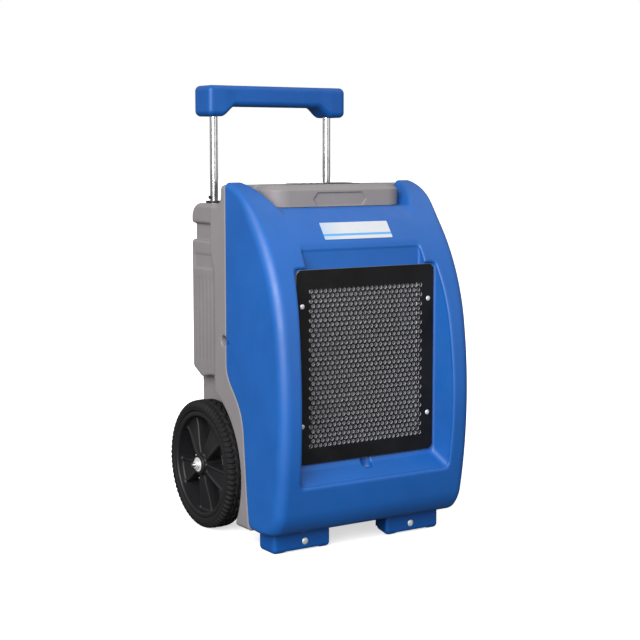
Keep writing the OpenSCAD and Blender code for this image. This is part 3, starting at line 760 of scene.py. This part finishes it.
def perforated_plate():
    """Steel plate with softly broken hole edges; front, lip and back share one triangulation."""
    turns = 20
    t = np.linspace(0, 2 * math.pi, turns, endpoint=False)
    circle = np.stack([np.cos(t), np.sin(t)], 1)
    low, high, bevel = PLATE_LOW[[0, 2]], PLATE_HIGH[[0, 2]], 8.0
    corners = [(low[0] + bevel, low[1]), (high[0] - bevel, low[1]), (high[0], low[1] + bevel),
               (high[0], high[1] - bevel), (high[0] - bevel, high[1]), (low[0] + bevel, high[1]),
               (low[0], high[1] - bevel), (low[0], low[1] + bevel)]
    middle = (low + high) / 2
    rims = [(np.array(corners), None, 0)]
    rims += [(c + HOLE_R * circle, np.array(c), HOLE_R) for c in map(np.array, hole_centres())]
    rims += [(c + SCREW_HOLE_R * circle, np.array(c), SCREW_HOLE_R)
             for c in map(np.array, SCREWS)]
    flat = np.vstack([r[0] for r in rims])
    edges, owner, start = [], np.zeros(len(flat), int), 0
    for i, (points, _, _) in enumerate(rims):
        n = len(points)
        edges += [(start + k, start + (k + 1) % n) for k in range(n)]
        owner[start:start + n] = i
        start += n
    result = delaunay_2d_cdt([Vector(p) for p in flat.tolist()], edges, [], 0, 1e-5)
    tris = np.array([f for f in result[2] if len(f) == 3])
    own = owner[tris]
    in_hole = (own[:, 0] == own[:, 1]) & (own[:, 1] == own[:, 2]) & (own[:, 0] > 0)
    tris = tris[~in_hole]
    wide = np.vstack([middle + (p - middle) * (1 - 0.6 / 155) if c is None
                      else c + (p - c) * (1 + 0.4 / r) for p, c, r in rims])
    layers = [(wide, PLATE_LOW[1]), (flat, PLATE_LOW[1] + 0.5), (flat, PLATE_HIGH[1])]
    verts = np.vstack([np.column_stack([p[:, 0], np.full(len(p), y), p[:, 1]]) for p, y in layers])
    n = len(flat)
    ring = np.array(edges)
    first, second = ring.T
    walls = [np.column_stack([first, second, second + n, first + n]) + a for a in (0, n)]
    # Hole rims are drawn the same way round as the outline, so their walls face the other way
    hole = np.arange(len(ring)) >= len(corners)
    for wall in walls:
        wall[hole] = wall[hole][:, ::-1]
    return verts, [tris, tris[:, ::-1] + 2 * n] + walls


def filter_frame_mesh():
    y0, y1 = FILTER_LOW[1], FILTER_HIGH[1]
    z0, z1 = FILTER_LOW[2], FILTER_HIGH[2]
    rim = 11.5
    profile = [(0, y0 + 0.7), (0.7, y0), (rim - 0.8, y0), (rim, y0 + 0.6), (rim, y0 + 1.1),
               (3, y0 + 1.1), (3, y0 + 3.3), (rim, y0 + 3.3), (rim, y1 - 0.6),
               (rim - 0.8, y1), (0.7, y1), (0, y1 - 0.7)]
    return frame_sweep(profile, FILTER_HIGH[0], z0, z1)


def woven_mesh():
    """Strands at 45 degrees that pass over and under each other."""
    pitch = 3.6
    wire, lift = 0.42, 0.4
    hw, y = FILTER_HIGH[0] - 3.3, FILTER_LOW[1] + 2.2
    z0, z1 = FILTER_LOW[2] + 3.3, FILTER_HIGH[2] - 3.3
    zc, reach = (z0 + z1) / 2, int((hw + (z1 - z0) / 2) / math.sqrt(2) / pitch) + 1
    section = np.array([(-1, -1), (1, -1), (1, 1), (-1, 1)]) * wire
    k = np.arange(-reach, reach + 1)
    parts = []
    for way in (1, -1):
        for i in k:
            u, v = i * pitch, k * pitch
            x = (u - v) / math.sqrt(2) * way
            z = zc + (u + v) / math.sqrt(2)
            keep = (np.abs(x) < hw) & (z > z0) & (z < z1)
            if keep.sum() < 2:
                continue
            x, z, over = x[keep], z[keep], np.where((i + k[keep]) % 2 == 0, lift, -lift) * way
            side = np.array([way, 1]) / math.sqrt(2)
            rows = [np.column_stack([x + a * side[0], y + over + b, z + a * side[1]])
                    for a, b in section]
            verts = np.stack(rows, 1).reshape(-1, 3)
            n = len(x)
            ends = np.array([[3, 2, 1, 0], [4 * n - 4, 4 * n - 3, 4 * n - 2, 4 * n - 1]])
            parts.append((verts, [grid_quads(n, 4, False, True), ends]))
    return combine(*parts)


def cross_screw(head_r=5.0, head_h=2.6, shank=2.4, length=11.0):
    """Pan head with a cross recess, its head towards -Y and its underside at y = 0."""
    dome = (head_r ** 2 + head_h ** 2) / (2 * head_h) + 0.4

    def field(x, y, z):
        r = np.hypot(x, z)
        head = smax(np.sqrt(r ** 2 + (y - dome + head_h) ** 2) - dome, y, 0.5)
        head = smax(head, r - head_r, 0.8)
        ax, az = np.abs(x), np.abs(z)
        arm = 0.5 - 0.06 * np.minimum(y + head_h, 2)
        cross = either(both(ax - arm, az - 2.5), both(az - arm, ax - 2.5))
        cross = smax(cross, y + 0.9 - 0.25 * r, 0.15)
        body = both(r - shank, y - length, -y - 1)
        return smax(smin(head, body, 0.3), -cross, 0.2)

    r = head_r + 0.8
    return solid(field, (-r, -head_h - 1, -r), (r, length + 0.8, r), 0.32)


def label_mesh():
    """A thin rounded sticker that follows the shell's curve."""
    half_w, half_h, mid_z, r = 76.0, 15.0, 592.5, 1.6
    ring = [(sx * (half_w - r) + r * dx, mid_z + sz * (half_h - r) + r * dz)
            for sx, sz, dx, dz in round_corners(6, 6)]
    rings = [np.array(ring)]
    centre = np.array([0, mid_z])
    for shrink in (0.97, 0.9, 0.7, 0.4, 0.15):
        rings.append(centre + (rings[0] - centre) * shrink)
    flat = np.vstack(rings)
    n = len(ring)
    z = flat[:, 1]
    y = np.full(len(flat), -150.0)
    for _ in range(40):
        y += outline(y, z)
    top = np.column_stack([flat[:, 0], y, z])
    out = np.column_stack([0 * y, outline(y + 0.5, z) - outline(y - 0.5, z),
                           outline(y, z + 0.5) - outline(y, z - 0.5)])
    front = top + 0.45 * out / np.linalg.norm(out, axis=1)[:, None]
    verts = np.vstack([front, top])
    m = len(flat)
    quads = grid_quads(len(rings), n, False, True)
    cap = np.array([[m - n + i, m - n + (i + 1) % n, m - n] for i in range(1, n - 1)])
    wall = np.array([[i, (i + 1) % n, m + (i + 1) % n, m + i] for i in range(n)])
    return verts, [quads[:, ::-1], cap, quads + m, cap[:, ::-1] + m, wall]


# ---- wheels
WHEEL_X = WHEEL_C[0]
LUGS = 72
SPOKES = 5
SPOKE_TURN = math.radians(126)


def tread(theta, along, radius):
    """How far the tread's grooves cut in, as a negative height."""
    reach = smooth((radius - 115) / 5)
    side = np.where(along > 0, 0.5, 0)
    wave = np.cos(LUGS * theta + 2 * math.pi * side)
    shoulder = 1 / (1 + np.exp(-8 * (wave + 0.2)))
    slant = np.cos(LUGS * theta / 2 + along * 0.42 * np.sign(along + 0.01))
    crown = 1 / (1 + np.exp(-9 * (slant + 0.5)))
    share = smooth((np.abs(along) - 8) / 3)
    block = share * shoulder + (1 - share) * crown
    grooves = np.exp(-((np.abs(along) - 9.5) / 1.3) ** 2) + np.exp(-(along / 1.1) ** 2)
    depth = np.maximum(1 - block, np.minimum(grooves, 1))
    return -(3.0 + 1.4 * share) * reach * depth


def tyre_mesh():
    side = [(18.2, 101.7), (18.6, 105), (21.2, 105.4), (23.2, 107.2), (24, 110), (23.5, 110.9),
            (23.9, 111.8), (24, 114), (23.8, 116), (23.4, 118), (22.6, 120), (21.4, 122),
            (19.8, 123.8), (17.8, 125.2), (15.8, 126.1)]
    crown = [(a, 126.1 + 0.9 * (1 - (abs(a) / 15.8) ** 2)) for a in np.linspace(14.5, -14.5, 23)]
    profile = side + crown + [(-a, r) for a, r in reversed(side)] + [(0, 101.7)]
    turns = LUGS * 10
    return revolve(profile, WHEEL_C, "x", turns, tread)


def rim_field(x, y, z):
    a = x - WHEEL_X
    v, w = y - WHEEL_C[1], z - WHEEL_C[2]
    r = from_axle(y, z)
    barrel = round_edge(np.abs(a) - 20, np.abs(r - 98.4) - 3.2, 1.4)
    lip = round_edge(np.abs(np.abs(a) - 20) - 1.9, np.abs(r - 100.5) - 4.2, 1.4)
    step = 2 * math.pi / SPOKES
    angle = (np.arctan2(w, v) - SPOKE_TURN + step / 2) % step - step / 2
    out, across = r * np.cos(angle), np.abs(r * np.sin(angle))
    half = 9 + 17 * np.clip((out - 17) / 80, 0, 1.2)
    rise = 17 - 7 * smooth((r - 24) / 66)
    web = round_edge((across - half) * 0.98, slab(a, -3, rise - 2.4), 1.2)
    ridge = round_edge(np.abs(across - half + 2.2) - 2.2, slab(a, -12, rise), 1.4)
    spoke = smax(smin(web, ridge, 3), both(r - 98, 15 - out), 0.5)
    hub = round_edge(slab(a, -19, 24.5), r - 20, 2.4)
    wheel = smin(smin(barrel, lip, 1.5), smin(spoke, hub, 5), 5)
    return both(wheel, AXLE_HOLE_R - r)


def rim_mesh():
    r = 105.5
    return solid(rim_field, WHEEL_C - (24, r, r), WHEEL_C + (26, r, r), 1.4)


def hardware_mesh():
    """Axle brackets, spacers, washers and nuts."""
    cy, cz = WHEEL_C[1:]

    def bracket(x, y, z):
        plate = round_edge(slab(x, 118, 122), both(slab(y, 76, 121), slab(z, 45, 150)), 0.8)
        return both(plate, AXLE_HOLE_R - from_axle(y, z))

    def nut(x, y, z):
        v, w = np.abs(y - cy), np.abs(z - cz)
        r = from_axle(y, z)
        across = both(w, v * 0.866 + w * 0.5) - 6.9
        d = smax(across, slab(x, WHEEL_X + 26.5, WHEEL_X + 32.5), 0.3)
        chamfer = r - 8.6 + 0.7 * np.maximum(x - WHEEL_X - 30.6, 0)
        return both(smax(d, chamfer, 0.4), 4.0 - r)

    spacer = [(123.6, 8.05), (123, 8.65), (123, 11.4), (123.6, 12),
              (164.9, 12), (165.5, 11.4), (165.5, 8.65), (164.9, 8.05)]
    washer = [(209.8, 8.05), (209.8, 13.6), (210.2, 14), (210.9, 14), (211.3, 13.6),
              (211.3, 8.05)]
    parts = [solid(bracket, (116, 74, 43), (124, 123, 152), 1.4),
             revolve(spacer, (0, cy, cz), "x", 48), revolve(washer, (0, cy, cz), "x", 64),
             solid(nut, (WHEEL_X + 26, cy - 9, cz - 9), (WHEEL_X + 33, cy + 9, cz + 9), 0.4)]
    return both_sides(combine(*parts))


def axle_mesh():
    """Steel bar whose thinner ends are threaded."""
    shoulder, end = 211.3, REAR_HIGH[0] + 10.6
    half = [(0, 8), (shoulder - 0.6, 8), (shoulder, 7.4), (shoulder, 4)]
    threads = np.arange(shoulder + 6.5, end - 1.4, 0.5)
    half += [(a, 4.0 - 0.35 * (i % 2)) for i, a in enumerate(threads)]
    half += [(end - 0.7, 4), (end, 3.3), (end, 0.05)]
    profile = half + [(-a, r) for a, r in reversed(half[1:])]
    return revolve(profile, (0, WHEEL_C[1], WHEEL_C[2]), "x", 48)


# ---- handle
def grip_field(x, y, z):
    """Handle grip: deeper ends, a ribbed underside, tube sockets and screw holes."""
    ax = np.abs(x)
    thin = smooth((129 - ax) / 33)
    low, high = GRIP_LOW[2] + 19.9 * thin, GRIP_HIGH[2]
    half_y = (GRIP_HIGH[1] - GRIP_LOW[1]) / 2 - 2.0 * thin
    r = 11.0
    qx = ax - (GRIP_HIGH[0] - r)
    qy = np.abs(y - (GRIP_LOW[1] + GRIP_HIGH[1]) / 2) - (half_y - r)
    qz = np.abs(z - (low + high) / 2) - ((high - low) / 2 - r)
    outside = np.sqrt(sum(np.maximum(q, 0) ** 2 for q in (qx, qy, qz)))
    body = outside + np.minimum(both(qx, qy, qz), 0) - r
    ribs = 0.35 * smooth((100 - ax) / 4) * (0.5 + 0.5 * np.cos(x * 2 * math.pi / 7))
    body = body + ribs * smooth((832 - z) / 3)
    socket = both(np.hypot(ax - TUBE_X, y - TUBE_Y) - TUBE_HOLE_R, z - (high - 10))
    drill = np.hypot(ax - TUBE_X, z - 842)
    screw = either(both(drill - 2.55, 150 - y), both(drill - 5, GRIP_HIGH[1] - 6 - y))
    return smax(smax(body, -socket, 0.8), -screw, 0.6)


def collar_mesh():
    top = BOX_TOP + 4

    def field(x, y, z):
        r = np.hypot(x - TUBE_X, y - TUBE_Y)
        flange = round_edge(slab(z, BOX_TOP, top), r - 17, 1.6)
        body = either(flange, both(slab(z, 631, top - 2), r - 14))
        slot = both(np.abs(y - TUBE_Y) - 4, slab(x, TUBE_X, TUBE_X + 12.6))
        return both(smax(body, TUBE_HOLE_R - r, 0.8), -slot)

    low = (TUBE_X - 18.5, TUBE_Y - 18.5, 629)
    return both_sides(solid(field, low, (TUBE_X + 18.5, TUBE_Y + 18.5, top + 1.5), 0.8))


def snap_mesh():
    def field(x, y, z):
        r = np.hypot(y - TUBE_Y, z - SNAP_Z)
        return round_edge(slab(x, TUBE_X + 2, TUBE_X + 12), r - 3.5, 1.6)

    low = np.array([TUBE_X + 1, TUBE_Y - 4.5, SNAP_Z - 4.5])
    return solid(field, low, low + (12, 9, 9), 0.45)


# ---- feet
FOOT_SCREW = (121.6, -155.0, 18.2)


def foot_field(x, y, z):
    """Right foot: slanted inner side, rounded edges, a shallow arch below and a screw hole."""
    inner = (63 + 15 * (y + 155) / 56 - x) * 0.966
    plan = round_edge(smax(inner, x - 190, 1), np.abs(y + 127) - 28, 9)
    body = both(round_edge(plan, -z, 9), z - BOTTOM)
    arch = 2.8 * smooth((42 - np.abs(x - 126)) / 8)
    drill = np.hypot(x - FOOT_SCREW[0], z - FOOT_SCREW[2]) - 3.1
    return smax(smax(body, arch - z, 2), -drill, 0.8)


# ---- controls, outlet and sockets
def panel_field(x, y, z):
    """Control panel: flange, display frame with its window, posts and key holes."""
    top, seat = DECK_Z + 1, DECK_Z + 0.5
    v, across = y - KEY_Y, x - 32
    corner = round_edge(np.abs(x) - 72, np.abs(y + 28.5) - 24.5, 6)
    plate = round_edge(corner, slab(z, DECK_Z, top), 0.8)
    frame_side = round_edge(np.abs(across) - 24, np.abs(v) - 18, 4)
    block = round_edge(frame_side, slab(z, DECK_Z, top + 1), 0.8)
    under = both(beam(x, v, 65.5, 20.5), slab(z, DECK_Z - 2, seat))
    post = both(np.hypot(np.abs(x) - 60, np.abs(v) - 17) - 2.5, slab(z, 656, seat))
    body = either(smin(plate, block, 1), post, under)
    window = both(beam(across, v, 20, 14), seat - z)
    key = both(np.hypot(np.abs(np.abs(x + 28) - 16) - 8, v) - 5.05, x - 4)
    return smax(smax(body, -window, 0.5), -key, 0.5)


def key_mesh(x0, symbol):
    def field(x, y, z):
        u, v = x - x0, y - KEY_Y
        r = np.hypot(u, v)
        cap = DECK_Z + 2.2 - 0.012 * r ** 2
        body = round_edge(z - cap, r - 5, 0.9)
        mark = both(symbol(u, v, r), np.abs(z - DECK_Z - 2.1) - 0.4)
        return smin(smax(body, 660 - z, 0.2), mark, 0.15)

    low, high = (x0 - 5.6, KEY_Y - 5.6, 659), (x0 + 5.6, KEY_Y + 5.6, DECK_Z + 4)
    return solid(field, low, high, 0.3)


def power_symbol(u, v, r):
    ring = both(np.abs(r - 2.3) - 0.3, 0.8 - np.abs(u) - 5 * (v < 0))
    return either(ring, beam(u, v - 1.7, 0.3, 1.4))


def arrow_symbol(way):
    def mark(u, v, r):
        t = v * way
        return both(-t - 1.4, (np.abs(u) * 1.5 + t - 2.2) * 0.55)

    return mark


def drop_symbol(u, v, r):
    ball = np.hypot(u, v + 0.7) - 1.6
    tip = both(np.abs(u) * 1.35 + v - 2.3, -0.7 - v) * 0.6
    return np.abs(either(ball, tip)) - 0.3


def outlet_mesh():
    y0, y1 = OUTLET_LOW[1], OUTLET_HIGH[1]
    z0, z1 = OUTLET_LOW[2], OUTLET_HIGH[2]
    rim = [(0, y0), (0, y1 - 1.6), (0.5, y1 - 0.6), (1.6, y1), (10.6, y1), (11.6, y1 - 0.5),
           (12, y1 - 1.5), (12, y0)]
    parts = [frame_sweep(rim, OUTLET_HIGH[0], z0, z1, 14)]
    for i in range(13):
        z = z0 + 19.4 + i * 15
        profile = rounded_profile(y0 + 2, z, 2.4, 0.75, 0.7, -30)
        parts.append(extrude_x([(max(y, y0 + 0.05), z) for y, z in profile], -109, 109))
    for x in (-36.5, 36.5):
        bar = rounded_profile(y0 + 1.1, (z0 + z1) / 2, 1.0, (z1 - z0) / 2 - 11, 0.5)
        parts.append(moved(extrude_x(bar, -1.2, 1.2), (x, 0, 0)))
    return combine(*parts)


def inlet_field(x, y, z):
    """Power inlet: flange, body, and a shaped mouth with a fine line round it."""
    u, w, rear = x - INLET_X, z - SOCKET_Z, BOX_REAR
    flange = round_edge(round_edge(np.abs(u) - 32, np.abs(w) - 20, 4),
                        slab(y, rear, rear + 3), 1)
    body = both(beam(u, w, 24, 15), slab(y, 172, rear + 1))
    shape = smax(beam(u, w, 12, 9), (np.abs(u) + w - 17) * 0.7, 0.5)
    mouth = both(shape, 180 - y)
    line = both(np.abs(shape - 2.2) - 0.5, rear + 2.4 - y)
    return smax(smax(either(flange, body), -mouth, 0.6), -line, 0.3)


def switch_field(x, y, z):
    """Housing of the power switch, with the rocker's well and pin holes."""
    u, w, rear = x - SWITCH_X, z - SOCKET_Z, BOX_REAR
    flange = round_edge(round_edge(np.abs(u) - 19, np.abs(w) - 19, 3),
                        slab(y, rear, rear + 2), 0.8)
    body = both(beam(u, w, 15, 15), slab(y, 174, rear + 1))
    well = both(beam(u, w, 11, 11), 179 - y)
    pin = both(np.hypot(y - ROCKER_Y, w) - 1.55, np.abs(u) - 14)
    return both(smax(either(flange, body), -well, 0.5), -pin)


def rocker_field(x, y, z):
    """Rocker with a hollow face, its pin, and the off and on signs."""
    t = math.radians(-8)
    u, v0, w0 = x - SWITCH_X, y - ROCKER_Y, z - SOCKET_Z
    v, w = v0 * math.cos(t) + w0 * math.sin(t), -v0 * math.sin(t) + w0 * math.cos(t)
    aw = np.abs(w)
    face = v - (4 + 3 * (aw / 9.2) ** 1.5)
    end = both(aw - 9.3, (aw - 9.5) * 0.8 + (1 - v) * 0.6)
    body = smax(smax(face, end, 0.8), both(-5 - v, np.abs(u) - 10), 0.6)
    pin = both(np.hypot(v0, w0) - 1.5, np.abs(u) - 13)
    ring = np.abs(np.hypot(u, w + 5) - 2.1) - 0.45
    mark = both(either(beam(u, w - 5, 0.5, 2.2), ring), -0.5 - face)
    return either(smax(body, -mark, 0.2), pin)


def barb_mesh():
    profile = [(182, 3.5), (182, 7), (194, 7), (194, 10.4), (194.6, 11), (196.4, 11), (197, 10.4),
               (197, 5.2)]
    for y in (199, 204.5, 210):
        profile += [(y, 5.1), (y + 0.5, 6), (y + 1.2, 6), (y + 5, 5.1)]
    profile += [(218.4, 5.1), (219, 4.6), (219, 3.5)]
    return revolve(profile, (HOSE_X, 0, HOSE_Z), "y", 48)


# ---- camera, floor and light
FOCAL_PX, IMAGE_PX = 1454.7, 640  # focal length solved from the photo's perspective


def set_camera():
    data = bpy.data.cameras.new("camera")
    cam = bpy.data.objects.new("camera", data)
    bpy.context.collection.objects.link(cam)
    azimuth, pitch = math.radians(32.9), math.radians(6.7)
    data.sensor_width = 36
    data.lens = 36 * FOCAL_PX / IMAGE_PX
    cam.location = (-1.5338, -2.389, 0.743)
    forward = Vector((math.sin(azimuth) * math.cos(pitch),
                      math.cos(azimuth) * math.cos(pitch), -math.sin(pitch)))
    cam.rotation_euler = forward.to_track_quat("-Z", "Y").to_euler()
    bpy.context.scene.camera = cam


def area_light(name, place, target, size, power):
    data = bpy.data.lights.new(name, "AREA")
    data.shape = "RECTANGLE"
    data.size, data.size_y = size
    data.energy = power
    light = bpy.data.objects.new(name, data)
    light.location = place
    aim = Vector(target) - Vector(place)
    light.rotation_euler = aim.to_track_quat("-Z", "Y").to_euler()
    bpy.context.collection.objects.link(light)


def set_stage():
    size = 30.0
    verts = np.array([(-size, -size, 0), (size, -size, 0), (size, size, 0), (-size, size, 0)])
    floor = make_object("floor", verts, np.array([(0, 1, 2, 3)]), scale=1)
    look = Look("floor")
    seen = look.add("LightPath").outputs["Is Camera Ray"]
    pale = look.mix(look.noise(3, 3), (0.93, 0.93, 0.93, 1), (0.97, 0.97, 0.97, 1))
    reach = look.add("VectorMath", Vector=look.coords)
    reach.operation = "LENGTH"
    glow = look.remap(reach.outputs["Value"], 0.3, 1.0, 0.6, 1.0)
    look.set(Base_Color=look.mix(seen, (0.1, 0.1, 0.1, 1), pale), Roughness=0.7,
             Specular_IOR_Level=0.1, Emission_Color=(1.0, 1.0, 1.0, 1.0),
             Emission_Strength=look.math("MULTIPLY", glow, seen))
    floor.data.materials.append(look.material)
    world = bpy.data.worlds.new("studio")
    bpy.context.scene.world = world
    world.use_nodes = True
    nodes, links = world.node_tree.nodes, world.node_tree.links
    camera_ray = nodes.new("ShaderNodeLightPath").outputs["Is Camera Ray"]
    level = nodes.new("ShaderNodeMapRange")
    level.inputs["To Min"].default_value = 0.44
    level.inputs["To Max"].default_value = 1.0
    links.new(camera_ray, level.inputs["Value"])
    background = nodes["Background"]
    background.inputs["Color"].default_value = (1, 1, 1, 1)
    links.new(level.outputs["Result"], background.inputs["Strength"])
    area_light("key", (-2.4, -2.0, 1.8), (0, 0, 0.35), (2.7, 2.5), 172)
    area_light("fill", (1.2, -3.0, 1.0), (0, 0, 0.35), (1.4, 1.8), 8)
    area_light("top", (1.5, -0.4, 2.7), (0, -0.1, 0.5), (2.0, 2.0), 10)
    bpy.context.scene.view_settings.view_transform = "Standard"


# ---- build
def build_pieces():
    piece("front_shell_skin", solid(front_field, (-HALF_W - 4, -231, BOTTOM - 4),
                                    (HALF_W + 4, -16, 688), 2.2), "front_shell")
    piece("rear_shell_skin", solid(rear_body_field, (-HALF_W - 4, -118, BOTTOM - 4),
                                   (HALF_W + 4, BOX_REAR + 4, 684), 2.2), "rear_shell")
    piece("nose_cap", solid(nose_front_field, (-NOSE_HW - 3, NOSE_Y - 3, NOSE_Z - 3),
                            (NOSE_HW + 3, -52, DECK_Z + 3), 1.1), "rear_shell")
    piece("perforated_plate", perforated_plate(), "grille_plate", sharp=30)
    piece("filter_channel", filter_frame_mesh(), "filter_frame", sharp=30)
    piece("filter_weave", woven_mesh(), "filter_mesh", sharp=50)
    piece("label_sticker", label_mesh(), "label_plate", sharp=50)
    screw = cross_screw()
    piece("plate_screws", combine(*[moved(screw, (x, PLATE_LOW[1], z)) for x, z in SCREWS]),
          "grille_screws")
    foot_screw = cross_screw(7.0, 3.0, 2.9, 64.0)
    piece("foot_bolts", both_sides(moved(foot_screw, FOOT_SCREW)), "foot_screws")
    pair("foot_pad", solid(foot_field, (61, -157, -2), (192, -97, BOTTOM + 1.5), 1.3), "foot")
    pair("tyre_body", tyre_mesh(), "tyre")
    pair("rim_body", rim_mesh(), "rim")
    piece("axle_hardware", hardware_mesh(), "wheel_hardware", sharp=40)
    piece("threaded_axle", axle_mesh(), "axle", sharp=40)
    piece("grip_body", solid(grip_field, GRIP_LOW - 2, GRIP_HIGH + 2, 1.5), "handle_grip")
    piece("tube_bushings", collar_mesh(), "tube_collars", sharp=40)
    pair("snap_pin", snap_mesh(), "snap_button")
    piece("control_bezel", solid(panel_field, (-74, -55, 654), (74, -2, DECK_Z + 6), 0.9),
          "control_panel")
    keys = (("power", -52, power_symbol), ("up", -36, arrow_symbol(1)),
            ("down", -20, arrow_symbol(-1)), ("purge", -4, drop_symbol))
    for name, x, symbol in keys:
        piece("key_" + name, key_mesh(x, symbol), "button_" + name)
    piece("outlet_louvres", outlet_mesh(), "outlet_grille", sharp=40)
    piece("inlet_socket", solid(inlet_field, (-70, 170, 198), (-2, BOX_REAR + 5, 242), 0.7),
          "power_inlet")
    piece("switch_body", solid(switch_field, (-111, 172, 199), (-69, BOX_REAR + 4, 241), 0.7),
          "switch_housing")
    piece("rocker_cap", solid(rocker_field, (-104, 184, 208), (-76, 202, 232), 0.4), "power_rocker")
    piece("hose_barb", barb_mesh(), "drain_barb", sharp=35)


dress_cad_nodes()
build_pieces()
set_camera()
set_stage()
